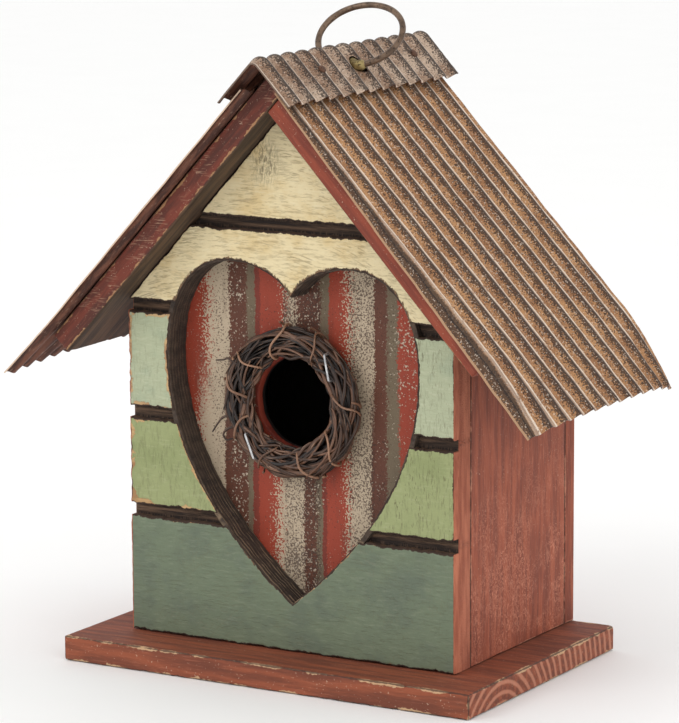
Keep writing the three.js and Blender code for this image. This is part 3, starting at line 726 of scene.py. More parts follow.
def stained_look(
        light, dark, stretch, low, high, edge_colour, reach, turn=0.0, marks=0.0, under=None, streak=1.0,
        inner=None, end=None, scratches=0.0):
    """A stained board: grain along it, worn edges, faint wavy marks, raw wood on its underside if
    under gives the height of that face along the board's own upright, painted shade, near black,
    inside the box that inner gives, growth rings on faces further out than end, and clusters of level
    scratches."""

    def build(w):
        p = w.stretch(w.millimetres(), (1, 1, 1), turn=(0, turn, 0))
        grain = w.use(GRAIN, Where=p, Stretch=stretch)
        cloud = w.noise(p, 18.0, 3.0, 0.6)
        colour = w.mix(w.band(grain["Broad"], 0.34, 0.68), dark, light)
        colour = w.lay(colour, w.mix(0.5, colour, dark), w.band(cloud, 0.5, 0.8), 0.5)
        colour = w.lay(
            colour, w.mix(0.4, colour, rgb(214, 150, 124)), w.band(grain["Fine"], 0.56, 0.72),
            0.35 * streak)
        colour = w.lay(colour, w.mix(0.6, colour, rgb(40, 20, 16)), grain["Pores"], 0.55 * streak)
        if marks:
            bent = {"Vector": w.stretch(p, (1, 1, 0.5)), "Scale": 0.42, "Detail": 2.0, "Distortion": 2.4}
            curl = w.node("TexNoise", bent).outputs[0]
            curls = w.band(w.math("ABSOLUTE", w.minus(curl, 0.5)), 0.05, 0.0)
            seen = w.times(w.band(w.split(p)[2], 110.0, 40.0), w.band(cloud, 0.36, 0.56))
            colour = w.lay(colour, rgb(206, 134, 106), curls, seen, marks)
        if scratches:
            level = w.band(w.noise(w.stretch(w.millimetres(), (0.14, 1, 2.2)), 0.8, 2.0), 0.56, 0.64)
            cluster = w.band(w.noise(w.stretch(p, (1, 1, 0.7)), 11.0, 2.0), 0.48, 0.58)
            colour = w.lay(colour, rgb(176, 138, 112), level, cluster, scratches)
        if end:
            far = w.distance(w.stretch(p, (0, 1, 1)), (0, -36.0, -16.0))
            far = w.plus(far, w.times(cloud, 3.0))
            rings = w.band(w.math("SINE", w.times(far, 2 * math.pi / 4.2)), -0.2, 0.9)
            outermost = w.band(w.math("ABSOLUTE", w.split(p)[0]), end - 0.5, end - 0.2)
            colour = w.lay(colour, rgb(192, 128, 100), rings, outermost, 0.75)
        flecks = specks(w, p, 1.2, 0.12)
        colour = w.lay(colour, rgb(214, 186, 160), flecks, 0.6)
        edge = w.use(ARRIS, Where=p, Low=low, High=high)["Distance"]
        patches = w.band(w.noise(p, 13.0, 3.0, 0.65), 0.4, 0.6)
        worn = worn_away(w, p, edge, w.scaled(patches, reach, 0.1))
        colour = w.lay(colour, edge_colour, worn, 0.8)
        chipped = worn_away(w, w.stretch(p, (1.3, 1.3, 1.3), shift=(5, 3, 1)), edge, reach * 0.5)
        colour = w.lay(colour, rgb(62, 38, 29), chipped, 0.8)
        height = w.minus(w.scaled(grain["Fine"], 0.5, grain["Broad"]), w.times(worn, 0.3))
        if under is not None:
            z = w.split(p)[2]
            raw = w.mix(w.band(grain["Broad"], 0.35, 0.65), rgb(58, 43, 32), rgb(96, 72, 52))
            raw = w.mix(grain["Pores"], raw, rgb(28, 20, 16))
            colour = w.mix(w.band(z, under + 0.5, under + 0.2), colour, raw)
        # Painted shade: inside the room the walls go near black.
        if inner is not None:
            room = w.least(*(w.minus(half, w.math("ABSOLUTE", w.minus(axis, middle)))
                                       for axis, (middle, half) in zip(w.split(p)[:2], inner)))
            colour = w.mix(w.band(room, -0.3, 0.0), colour, rgb(30, 22, 18))
        return colour, 0.72, height, 0.3, 0.0

    return build


def tin_look(light, tan, dark, rise, pale_and_highlight, front_rim, highlight_strength=0.95, dots=0.62):
    """Aged corrugated tin: a thin painted highlight line in each valley, tan on the flank in front of a
    crest, dark spots towards the crest, a thin black line just behind it, and painted light, a paler
    grey, on the long flank behind the crest. Its underside is a dull brown with long streaks."""

    def build(w):
        p = w.millimetres()
        x, y, z = w.split(p)
        sway = w.times(w.minus(w.noise(p, 22.0, 3.0), 0.5), 0.7)
        after = w.math(
            "FRACT", w.math("DIVIDE", w.plus(w.minus(y, WAVE["crest"] - 104.0), sway), WAVE["pitch"]))
        cloud = w.noise(p, 15.0, 4.0, 0.6)
        fine = w.noise(p, 0.55, 3.0, 0.7)
        colour = w.mix(w.band(cloud, 0.36, 0.66), tan, light)
        colour = w.lay(colour, w.mix(0.5, colour, dark), w.band(fine, 0.46, 0.66), 0.5)
        valley = 1 - rise
        spotted = w.band(after, valley + rise * 0.25, valley + rise * 0.95)
        cover = w.scaled(spotted, dots, 0.3)
        spots = specks(w, p, 1.45, cover)
        colour = w.lay(colour, dark, spots, 0.85)
        pale = specks(w, p, 1.4, 0.28, (9, 2, 40))
        colour = w.lay(colour, pale_and_highlight, pale, 0.5)
        # Painted light: the long flank behind each crest is laid paler grey, as if lit from above.
        back = w.times(w.band(after, 0.06, 0.14), w.band(after, valley * 0.95, valley * 0.8))
        colour = w.lay(colour, rgb(186, 172, 160), back, w.scaled(pale, 0.4, 0.45))
        frayed = w.plus(after, w.times(w.minus(fine, 0.5), 0.14))
        rear = w.most(w.band(frayed, 0.13, 0.05), w.band(frayed, 0.95, 0.98))
        colour = w.lay(colour, rgb(38, 28, 23), rear, 0.85)
        # Painted highlight: a thin pale line low in each valley.
        line = w.times(
            w.band(after, valley * 0.8, valley * 0.88), w.band(after, valley + rise * 0.07, valley))
        line = w.times(line, w.band(w.noise(p, 3.0, 3.0, 0.7), 0.3, 0.45))
        colour = w.lay(colour, pale_and_highlight, line, highlight_strength)
        streaks = w.use(GRAIN, Where=p, Stretch=(0.16, 1.2, 0.16))
        dull = w.mix(w.band(streaks["Broad"], 0.4, 0.62), rgb(72, 44, 35), rgb(122, 78, 60))
        dull = w.lay(dull, rgb(190, 160, 138), streaks["Pores"], 0.7)
        colour = w.mix(w.band(w.value("under"), 0.4, 0.6), colour, dull)
        colour = w.mix(w.band(y, *front_rim[1]), colour, front_rim[0])
        height = w.plus(w.times(spots, 0.5), w.scaled(cloud, 0.5, fine))
        return colour, w.scaled(spots, 0.2, 0.5), height, 0.12, 0.25

    return build


def bark_look(light, dark, painted_highlight):
    """Dry twig: lengthwise ridges along the piece's own length, black knots and a painted highlight on the
    ridges' high spots.
    """

    def build(w):
        p = w.millimetres()
        along, turn, tone = w.value("along"), w.value("turn"), w.value("tone")
        strip = w.node(
            "CombineXYZ",
            {0: w.times(along, 0.12), 1: w.times(turn, 1.6), 2: w.times(tone, 40.0)}).outputs[0]
        ridge = w.noise(strip, 0.9, 3.0, 0.6)
        knots = w.noise(p, 3.0, 3.0, 0.6)
        colour = w.mix(w.band(w.plus(tone, w.minus(ridge, 0.5)), 0.15, 0.95), dark, light)
        colour = w.lay(colour, BLACK, w.band(knots, 0.56, 0.7), 0.6)
        # Painted highlight on the ridges' high spots.
        colour = w.lay(colour, painted_highlight, w.band(ridge, 0.58, 0.7), 0.5)
        return colour, 0.42, w.plus(ridge, knots), 0.2, 0.0

    return build


def metal_look(light, dark, spot, rough, metallic, cover=0.3):
    """Metal that is cloudy between two colours and pitted with spots of a third."""

    def build(w):
        p = w.millimetres()
        cloud = w.noise(p, 5.0, 4.0, 0.6)
        colour = w.mix(w.band(cloud, 0.35, 0.65), dark, light)
        pits = specks(w, p, 1.1, cover)
        colour = w.lay(colour, spot, pits, 0.8)
        return colour, w.scaled(pits, 0.25, rough), w.minus(cloud, w.times(pits, 0.4)), 0.12, metallic

    return build


def floor_look(w):
    """Near white, hardly varied."""
    p = w.millimetres()
    colour = w.mix(w.noise(p, 60.0, 2.0), rgb(250, 250, 249), rgb(253, 253, 252))
    return colour, 0.9, w.noise(p, 5.0), 0.01, 0.0


MATERIALS = {
    "planks": finish("Old paint on planks", planks_look),
    "lining": finish("Bare ply edge", lining_look),
    "groove": finish("Torn groove wood", groove_look),
    "stripes": finish("Striped panel paint", stripes_look),
    # Each bark's third colour is a painted highlight.
    "twig": finish("Dry twig", bark_look(rgb(106, 73, 54), rgb(24, 14, 10), rgb(196, 160, 134))),
    "vine": finish("Pale vine", bark_look(rgb(158, 118, 92), rgb(92, 62, 46), rgb(206, 174, 148))),
    "staple": finish(
        "Bright staple wire",
        metal_look(rgb(226, 226, 226), rgb(170, 170, 172), rgb(110, 104, 98), 0.3, 0.75, 0.14)),
    "screw": finish(
        "Dull zinc", metal_look(rgb(168, 164, 156), rgb(128, 124, 116), rgb(92, 70, 54), 0.42, 0.85)),
    "rust": finish("Rusty nail", metal_look(rgb(112, 78, 60), rgb(76, 54, 42), rgb(34, 24, 19), 0.7, 0.4)),
    "wire": finish(
        "Ring wire", metal_look(rgb(120, 98, 80), rgb(82, 65, 52), rgb(44, 34, 28), 0.36, 0.55, 0.3)),
    "ferrule": finish(
        "Olive brass sleeve", metal_look(rgb(158, 140, 92), rgb(116, 100, 62), rgb(64, 52, 34), 0.45, 0.6)),
    # Each tin's fifth colour serves both the pale specks and the painted highlight line.
    "tin_right": finish(
        "Aged tin, right",
        tin_look(
            rgb(188, 140, 94), rgb(158, 111, 72), rgb(54, 38, 31), 0.4, rgb(238, 222, 204),
            (rgb(176, 140, 108), (-59.3, -59.45)))),
    "tin_left": finish(
        "Aged tin, left",
        tin_look(
            rgb(176, 122, 86), rgb(146, 96, 64), rgb(54, 38, 30), 0.6, rgb(236, 220, 202),
            (rgb(214, 188, 164), (-59.2, -59.4)))),
    "cap": finish(
        "Aged cap tin",
        tin_look(
            rgb(196, 172, 150), rgb(146, 114, 90), rgb(44, 32, 27), 0.5, rgb(226, 208, 190),
            (rgb(112, 92, 78), (-63.5, -63.65)), 0.9, 0.5))}


# ---------------------------------------------------------------- base and body
wide, deep, tall = BASE["width"] / 2, BASE["depth"] / 2, BASE["height"]
base_section = [(-deep, 0), (deep, 0), (deep, tall), (-deep, tall)]
base_points, base_faces = plank(base_section, -wide, wide, "x", 0.45, 0.9, 11)
MATERIALS["base"] = finish(
    "Base stain",
    stained_look(
        rgb(148, 76, 47), rgb(110, 55, 35), (0.1, 1, 1), (-wide, -deep, -0.2), (wide, deep, tall),
        rgb(206, 170, 130), 1.5, streak=0.8, end=wide))
piece("base_board", "house", "base_wood", MATERIALS["base"], base_points, base_faces, ["base"])

# The room inside the walls as (middle, half size) across and from front to back.
INNER_ROOM = (
    (0, BODY["half"] - SIDE_T + 0.05),
    ((PANEL_FRONT + BACK_FRONT) / 2, (BACK_FRONT - PANEL_FRONT) / 2 + 0.05))


def stained(name, stretch, low, high, reach=0.9, marks=0.0):
    """Red stain for a wall of the house, with painted shade inside the room."""
    return finish(name, stained_look(
        *RED_STAIN, stretch, low, high, rgb(198, 136, 108), reach, marks=marks, inner=INNER_ROOM))


def side_board(side, name, node, seed):
    """A side wall: its slanted top follows the roof's underside."""
    outer, inner = BODY["half"], BODY["half"] - SIDE_T
    top = lambda x: ROOF["apex"] - x * TAN - GAP / COS
    section = [
        (side * inner, FLOOR), (side * outer, FLOOR), (side * outer, top(outer)),
        (side * inner, top(inner))]
    section = section if side > 0 else section[::-1]
    points, faces = plank(section, PANEL_FRONT - 0.1, BACK_FRONT - GAP, "y", 0.4, 0.25, seed, end_round=0.5)
    x = sorted((side * inner, side * outer))
    look = stained(
        "Side stain " + name, (1, 1, 0.1), (x[0], PANEL_FRONT, FLOOR), (x[1], BACK_FRONT - GAP, 190),
        marks=0.8)
    return piece(name, "house", "red_wood", look, points, faces, [node])


side_board(-1, "left_wall", "side_left", 21)
side_board(1, "right_wall", "side_right", 24)

back_centre = np.array([0.0, CLEAN_OUT["z"]])
back_points, back_faces = ring_board(
    lambda a: np.full(len(a), float(CLEAN_OUT["radius"])), gable_outline(BODY["half"]), back_centre,
    BACK_FRONT, BODY["back"])
piece(
    "back_wall", "house", "red_wood",
    stained("Back stain", (1, 1, 0.1), (-75, BACK_FRONT, FLOOR), (75, BODY["back"], 400)), back_points,
    back_faces, ["back_board"])

panel_centre = np.array([HOLE["x"], HOLE["z"]], float)
panel_outline = gable_outline(BODY["half"] - SIDE_T - 2 * GAP, HEART["top"] + 20)
panel_points, panel_faces = ring_board(
    lambda a: np.full(len(a), float(HOLE["radius"])) + 0.12 * ripple(
        np.stack([np.cos(a), np.sin(a)], -1) * 9, 5, 3),
    panel_outline, panel_centre, PANEL_FRONT, PANEL_FRONT + PANEL_T, rim=0.7)
piece("striped_board", "house", "stripes", MATERIALS["stripes"], panel_points, panel_faces, ["striped_panel"])

# ---------------------------------------------------------------- front board
heart_centre = np.array([HEART["x"], 112.0])


def heart_radius(angles, grow=0.0):
    """Distance from the heart's middle to its outline, moved outwards by grow, at an angle."""
    xs, zs = HALF[:, 0], HALF[:, 1] - heart_centre[1]
    turn = np.arctan2(zs, xs)[::-1]
    far = np.hypot(xs, zs)[::-1]
    folded = np.where(np.abs(angles) > np.pi / 2, np.sign(angles) * np.pi - angles, angles)
    return np.interp(folded, turn, far) + grow


CUSPS = (np.pi / 2, -np.pi / 2)
front_outline = gable_outline(BODY["half"] - 0.15)
ply_points, ply_faces = ring_board(
    lambda a: heart_radius(a, 0.8), front_outline, heart_centre, PLY_FRONT, PANEL_FRONT - GAP, rim=0.2,
    count=720, hole_angles=CUSPS)
piece("front_ply", "house", "planks", MATERIALS["groove"], ply_points, ply_faces)


def heart_path(count=620):
    """The heart's whole outline, evenly spaced, clockwise from the notch down the right side."""
    left = (HALF * [-1, 1])[::-1]
    loop = np.concatenate([HALF, left[1:-1]]) + [HEART["x"], 0]
    run = np.concatenate([[0], np.cumsum(np.linalg.norm(np.roll(loop, -1, 0) - loop, axis=1))])
    closed = np.concatenate([loop, loop[:1]])
    t = np.linspace(0, run[-1], count, endpoint=False)
    return np.stack([np.interp(t, run, closed[:, 0]), np.interp(t, run, closed[:, 1])], -1)


def lining():
    """The ply edge inside the heart: a section of fine ridges carried round the outline, its front
    edge torn."""
    path = heart_path()
    along = unit(np.roll(path, -1, 0) - np.roll(path, 1, 0))
    out = np.stack([-along[:, 1], along[:, 0]], -1)
    count = len(path)
    run = np.arange(count)
    torn = 0.16 * np.abs(ragged(run, 3, 5)) + 0.25 * np.clip(ripple(path, 11, 6), 0, 1)
    front = BODY["front"] + 0.12 + torn
    back = PANEL_FRONT - GAP / 2
    depth = np.linspace(0, 1, 15)
    ridge = 0.3 * np.abs(np.sin(np.pi * 4.5 * depth)) ** 3
    wander = 0.12 * ripple(path, 6, 8)[:, None]
    inner = ridge[None, :] + wander + 0.05 * np.abs(ragged(run, 2, 9))[:, None] - 0.15
    inner[:, 0] += 0.35
    reach = np.concatenate([inner, np.full((count, 1), 2.2), np.full((count, 1), 2.2)], 1)
    y = np.concatenate(
        [
            front[:, None] + (back - front[:, None]) * depth, np.full((count, 1), back),
            front[:, None] + 0.05],
        1)
    flat = path[:, None] + out[:, None] * reach[..., None]
    points = np.stack([flat[..., 0], y, flat[..., 1]], -1)
    return points.reshape(-1, 3), quads(*points.shape[:2], wrap_rows=True, wrap_cols=True)


HEART_LINE = heart_path(300)
lining_points, lining_faces = lining()
piece("heart_edge", "house", "planks", MATERIALS["lining"], lining_points, lining_faces)


def spaced(low, high, count):
    """Places from low to high: close together beside both ends and even in between."""
    near = np.array([0, 0.12, 0.35, 0.8, 1.5])
    low, high = np.asarray(low, float)[..., None], np.asarray(high, float)[..., None]
    room = np.maximum(high - low, 0.05)
    close = near * np.minimum(1, room / 4)
    inner = low + 1.5 + (high - low - 3) * np.linspace(0, 1, count)[1:-1]
    inner = np.where(room > 4, inner, low + room * np.linspace(0.4, 0.6, count)[1:-1])
    return np.concatenate([low + close, inner, (high - close)[..., ::-1]], -1)


def course(x, z, seed):
    """One plank's face from its grid of (x, z): its height falls off by a quarter circle close to
    the outline, deeper where noise has worn it, and the board behind it stays flat."""
    rows, cols = x.shape
    step_a = np.hypot(*np.array([np.diff(x, axis=0), np.diff(z, axis=0)]))
    step_b = np.hypot(*np.array([np.diff(x, axis=1), np.diff(z, axis=1)]))
    run_a = np.concatenate([np.zeros((1, cols)), np.cumsum(step_a, 0)])
    run_b = np.concatenate([np.zeros((rows, 1)), np.cumsum(step_b, 1)], 1)
    edge = np.minimum(np.minimum(run_a, run_a[-1] - run_a), np.minimum(run_b, run_b[:, -1:] - run_b))
    flat = np.stack([x, z], -1)
    soft = 0.75 + 0.35 * ripple(flat, 8, seed) + 0.2 * ripple(flat, 2.5, seed + 1)
    soft = np.clip(soft, 0.3, 1.8)
    t = np.clip(1 - edge / soft, 0, 1)
    fall = 0.62 * soft * (1 - np.sqrt(1 - t**2))
    face = BODY["front"] + fall + 0.03 * ripple(flat, 5, seed + 2)
    front = np.stack([x, face, z], -1)
    back = np.stack([x, np.full_like(x, PLY_FRONT + 0.25), z], -1)
    points, faces = shell(front, back)
    edge = edge.ravel()
    heart = np.linalg.norm(flat.reshape(-1, 1, 2) - HEART_LINE, axis=2).min(1)
    return points, faces, {"edge": np.concatenate([edge, 0 * edge]), "heart": np.concatenate([heart, heart])}


def tear(t, seed, size=0.3):
    """How far a plank's edge strays from its line."""
    return size * (0.75 * ragged(t, 1.3, seed) + 0.5 * ripple(np.asarray(t)[:, None], 17, seed))


def plank_piece(name, x, z, seed):
    """One painted plank of the front as a piece of its own."""
    points, faces, values = course(x, z, seed)
    return piece(name, "house", "planks", MATERIALS["planks"], points, faces, values=values, sharp=50)


def upright_course(name, low, high, left, right, seed, count=44, rows=50):
    """A plank given by its left and right edges as functions of z."""
    z_line = spaced(low, high, rows)
    x = spaced(left(z_line), right(z_line), count)
    t = x[len(x) // 2]
    share = ((z_line - low) / (high - low))[:, None]
    z = z_line[:, None] + 0 * x + tear(t, seed) * (1 - share) ** 6 + tear(t, seed + 5) * share**6
    return plank_piece(name, x, z, seed)


def level_course(name, left, right, under, over, seed, count=150, rows=26):
    """A plank given by its lower and upper edges as functions of x."""
    x_line = spaced(left, right, count)
    z = spaced(under(x_line) + tear(x_line, seed, 0.22), over(x_line) + tear(x_line, seed + 3), rows)
    return plank_piece(name, x_line[:, None] + 0 * z, z, seed)


G = GROOVE["tops"]
half, hx = BODY["half"], HEART["x"]
left_edge = lambda z: hx - heart_side(z) - 0.55 + tear(z, 71, 0.18)
right_edge = lambda z: hx + heart_side(z) + 0.55 + tear(z, 72, 0.18)
outer_left = lambda z: -half + 0.25 * np.abs(ragged(z, 4, 73))
outer_right = lambda z: half - 0.25 * np.abs(ragged(z, 4, 74))
slope_top = lambda x: PEAK - np.abs(x) * TAN - 0.2

top_half = (PEAK - G[0]) / TAN - 0.3
level_course("plank_peak", -top_half, top_half, lambda x: np.full_like(x, G[0]), slope_top, 31, rows=22)
shoulder = (PEAK - G[1]) / TAN - 0.3
level_course(
    "plank_over_heart", -shoulder, shoulder,
    lambda x: np.where(np.abs(x - hx) < heart_side(G[1]) + 0.5, np.maximum(G[1], heart_over(x) + 0.45), G[1]),
    lambda x: np.minimum(G[0] - GROOVE["tall"], slope_top(x)), 34, count=230)
for number, (low, high) in enumerate([(G[2], G[1] - GROOVE["tall"]), (G[3], G[2] - GROOVE["tall"])]):
    tag = ("blue", "green")[number]
    upright_course("plank_%s_left" % tag, low, high, outer_left, left_edge, 41 + 10 * number)
    upright_course("plank_%s_right" % tag, low, high, right_edge, outer_right, 46 + 10 * number)
level_course(
    "plank_foot", -half, half, lambda x: np.full_like(x, FLOOR + 0.2),
    lambda x: np.minimum(
        G[3] - GROOVE["tall"], heart_under(x) - 0.5 / np.maximum(0.35, np.cos(np.abs(x - hx) / 60))),
    61, count=190)
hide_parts("front_board")

# ---------------------------------------------------------------- roof boards
def on_slope(side, down, height):
    """A point given by its distance down a slope and its height above the boards' top plane."""
    return side * (down * COS + height * SIN), BOARD_APEX - down * SIN + height * COS


def roof_board(side, name, node, seed):
    """A board down one slope. The left one runs up to the ridge and the right one butts against it;
    the left one's eave end is cut a little short towards the back."""
    end = (ROOF["right"] if side > 0 else ROOF["left"]) / COS + ROOF["thick"] * TAN
    under = -ROOF["thick"]
    lap = lambda h: h / math.tan(2 * SLOPE)
    butt = lambda h: (ROOF["thick"] + GAP + h * math.cos(2 * SLOPE)) / math.sin(2 * SLOPE)
    start = lap if side < 0 else butt
    section = [
        on_slope(side, d, h) for d, h in [(start(0), 0), (start(under), under), (end, under), (end, 0)]]
    points, faces = plank(
        section if side > 0 else section[::-1], ROOF["front"], BODY["back"], "y", 0.5, 0.6, seed)
    if side < 0:
        short = 2.6 * np.clip((points[:, 1] + 40) / 100, 0, 1) * (points[:, 0] < -60)
        points = points + short[:, None] * np.array([COS, 0, SIN])
    tilt = side * SLOPE
    apex = BOARD_APEX * COS
    low = (-400, ROOF["front"], apex + under)
    high = (400, BODY["back"], apex)
    light, dark = (rgb(148, 66, 42), rgb(118, 49, 32)) if side > 0 else (rgb(114, 47, 29), rgb(76, 33, 21))
    look = finish(
        "Roof stain " + name,
        stained_look(
            light, dark, (0.1, 1, 1), low, high, rgb(170, 128, 88), 1.6 if side < 0 else 0.7, turn=-tilt,
            under=apex + under, streak=0.45, scratches=0.6 if side < 0 else 0.0))
    return piece(name, "house", "roof_wood", look, points, faces, [node])


roof_board(-1, "left_roof_board", "roof_board_left", 81)
roof_board(1, "right_roof_board", "roof_board_right", 85)


# ---------------------------------------------------------------- corrugated tin
def wave(y, rise):
    """The corrugation: half a cosine up over the share rise of a wave, half a cosine down over the
    rest, 0 in a valley and 1 on a crest."""
    phase = np.mod((y - WAVE["crest"]) / WAVE["pitch"] + rise, 1)
    return np.where(
        phase < rise, 1 - np.cos(np.pi * phase / rise), 1 + np.cos(np.pi * (phase - rise) / (1 - rise))) / 2


def tin(section, normal, down, front, length, base, rise, lift, seed, step=0.47):
    """Thin tin: a section across the roof carried from front to back, its height above the section
    the corrugation plus a bend and small dents."""
    y = front + length * np.linspace(0, 1, int(length / step))
    yy, dd = np.meshgrid(y, down, indexing="ij")
    place = np.stack([yy, dd + 40.0 * seed], -1)
    dent = 0.1 * ripple(place, 16, seed) + 0.035 * ripple(place, 4, seed + 1)
    height = base + WAVE["height"] * wave(yy, rise) + lift(yy, dd) + dent
    faces = []
    for offset in (VISUAL_TIN / 2, -VISUAL_TIN / 2):
        flat = section[None] + normal[None] * (height + offset)[..., None]
        faces.append(np.stack([flat[..., 0], yy, flat[..., 1]], -1))
    under = np.repeat([0.0, 1.0], yy.size)
    return *shell(*faces), {"under": under}


def smooth(t):
    """0 to 1 with a level start and end."""
    t = np.clip(t, 0, 1)
    return t * t * (3 - 2 * t)


def free(down):
    """0 where a board holds the sheet up, growing to 1 at its eave."""
    return np.clip((down - ROOF_END) / (SHEET["eave"] - ROOF_END), 0, 1)


def lift_right(y, down):
    """A slight lift at the middle of the eave; its corners droop, and past the boards' front and
    back the whole edge does."""
    past = np.maximum(ROOF["front"] - y, y - BODY["back"]) - 1.8
    held = free(down) ** 1.5
    droop = held + smooth(past / 4) * (down / SHEET["eave"] - held)
    return 1.2 * smooth(down / SHEET["eave"]) - 6.5 * ((y - 2.5) / 62) ** 4 * droop


def lift_left(y, down):
    """The left sheet bends up past its board, most at its middle."""
    return (5.5 - 4.5 * ((y - 8) / 68) ** 2) * free(down) ** 1.3


def roof_sheet(side, name, node, material):
    """A corrugated sheet down one slope, from under the cap to past the boards' eave."""
    down = np.concatenate(
        [np.linspace(SHEET["top"], ROOF_END, 34)[:-1], np.linspace(ROOF_END, SHEET["eave"], 22)])
    section = np.stack(on_slope(side, down, 0 * down), -1)
    normal = np.broadcast_to([side * SIN, COS], section.shape)
    rise, lift = (0.4, lift_right) if side > 0 else (0.6, lift_left)
    points, faces, values = tin(
        section, normal, down, SHEET["front"], SHEET["length"], TIN_BASE, rise, lift, 90 + side)
    return piece(name, "house", "tin", material, points, faces, [node], values, sharp=60)


roof_sheet(-1, "left_sheet", "roof_sheet_left", MATERIALS["tin_left"])
roof_sheet(1, "right_sheet", "roof_sheet_right", MATERIALS["tin_right"])


def cap_section():
    """Straight wings joined by a rounded crown, with the direction out of the tin at each point."""
    low = TIN_BASE + TIN_T + CAP["nest"]
    peak = BOARD_APEX + (low - CAP["crown"]) / COS
    fall = np.linspace(CAP["reach"], 2.6, 12)
    angle = np.linspace(-SLOPE, SLOPE, 11)
    left = np.stack(on_slope(-1, fall, low), -1)
    right = np.stack(on_slope(1, fall[::-1], low), -1)
    crown = np.stack([CAP["crown"] * np.sin(angle), peak + CAP["crown"] * np.cos(angle)], -1)
    wing = np.full((len(fall), 2), [SIN, COS])
    normal = np.concatenate([wing * [-1, 1], np.stack([np.sin(angle), np.cos(angle)], -1), wing])
    down = np.concatenate([fall, 0 * angle, fall[::-1]])
    return np.concatenate([left, crown, right]), normal, down


cap_line, cap_normal, cap_down = cap_section()
cap_points, cap_faces, cap_values = tin(
    cap_line, cap_normal, cap_down, CAP["front"], CAP["length"], 0, 0.5, lambda y, d: 0 * y, 95)
cap = piece(
    "cap_tin", "house", "cap_tin", MATERIALS["cap"], cap_points, cap_faces, ["ridge_cap"], cap_values,
    sharp=60)


# ---------------------------------------------------------------- hanging ring
def on_ring(x, up):
    """A point of the leaning ring's plane: across, and up from the hinge."""
    x, up = np.broadcast_arrays(np.asarray(x, float), np.asarray(up, float))
    return np.stack([x, RING["y"] + up * math.sin(RING_LEAN), RING["z"] + up * math.cos(RING_LEAN)], -1)


angle = np.radians(np.linspace(-75, 224, 17))
oval = on_ring(RING_SHIFT + RING["wide"] * np.cos(angle), RING["centre"] + RING["tall"] * np.sin(angle))
ends = on_ring([0.4, 3.2, 6], [0, -0.6, -2.6]), on_ring([-6.5, -3.2, -0.4], [-0.2, 0, 0])
ring_line = catmull(np.concatenate([ends[0], oval, ends[1]]), 900)
run = np.concatenate([[0], np.cumsum(np.linalg.norm(np.diff(ring_line, axis=0), axis=1))])


def along_ring(low, high, count):
    """Evenly spaced points of the ring's line between two shares of its length."""
    t = np.linspace(low, high, count) * run[-1]
    return np.stack([np.interp(t, run, axis) for axis in ring_line.T], -1)


ring_side = (0.0, math.cos(RING_LEAN), -math.sin(RING_LEAN))
ring_path, sleeve_path = along_ring(0, 1, 260), along_ring(SLEEVE["from"], SLEEVE["to"], 18)
ring_mesh = tube(ring_path, RING["wire"] * (1 + 0.03 * ripple(ring_path, 9, 4)), ring_side, sides=16)
piece("ring_wire", "ring", "ring_wire", MATERIALS["wire"], *ring_mesh, ["hanging_ring"], sharp=60)
sleeve_mesh = tube(
    sleeve_path, SLEEVE["radius"] * (1 + 0.07 * ripple(sleeve_path, 2.5, 6)), ring_side, sides=20)
piece("ring_ferrule", "ring", "sleeve_brass", MATERIALS["ferrule"], *sleeve_mesh, ["ring_sleeve"], sharp=50)


def bore(target, path, radius):
    """Cuts a round bore along a path out of a piece, at five places of the ring's swing."""
    axis = np.array([0, RING["y"], RING["z"]])
    for turn in np.linspace(0, RING_SWING, 5):
        c, s = math.cos(turn), math.sin(turn)
        swung = (path - axis) @ np.array([[1, 0, 0], [0, c, s], [0, -s, c]]) + axis
        points, faces = tube(swung, radius, ring_side, sides=14)
        mesh = bpy.data.meshes.new("bore")
        mesh.from_pydata((points * 0.001).tolist(), [], faces)
        if signed_volume(mesh) < 0:
            mesh.flip_normals()
        tool = bpy.data.objects.new("bore", mesh)
        bpy.context.scene.collection.objects.link(tool)
        cutter = target.modifiers.new("bore", "BOOLEAN")
        cutter.object, cutter.operation, cutter.solver = tool, "DIFFERENCE", "EXACT"
        bpy.context.view_layer.update()
        done = bpy.data.meshes.new_from_object(target.evaluated_get(bpy.context.evaluated_depsgraph_get()))
        target.modifiers.clear()
        target.data = done
        bpy.data.objects.remove(tool)
        bpy.data.meshes.remove(mesh)


bore(cap, along_ring(0, 0.09, 24), RING["wire"] + 0.5)
bore(cap, along_ring(0.92, 1, 24), RING["wire"] + 0.5)
bore(cap, along_ring(SLEEVE["from"] - 0.01, SLEEVE["to"] + 0.01, 18), SLEEVE["radius"] + 0.25)

# ---------------------------------------------------------------- wreath
def on_wreath(angle, radial, forward):
    """A point by its angle round the wreath, and how far it is out from the core and forwards."""
    r = WREATH["radius"] + radial
    return np.stack(
        [WREATH["x"] + r * np.cos(angle), WREATH_Y - forward + 0 * angle, WREATH["z"] + r * np.sin(angle)],
        -1)


def spoke(angle):
    """The direction out from the wreath's centre at an angle."""
    return np.stack([np.cos(angle), 0 * angle, np.sin(angle)], -1)


def twig_values(points, stations, sides, length, tone):
    """Distance along a twig, place round it and its own tone, for each of its points."""
    ring = np.broadcast_to(np.linspace(0, length, stations)[:, None], (stations, sides)).ravel()
    turn = np.tile(np.linspace(0, 2 * np.pi, sides, endpoint=False), stations)
    return np.stack([ring, turn, np.full(len(points), tone)])


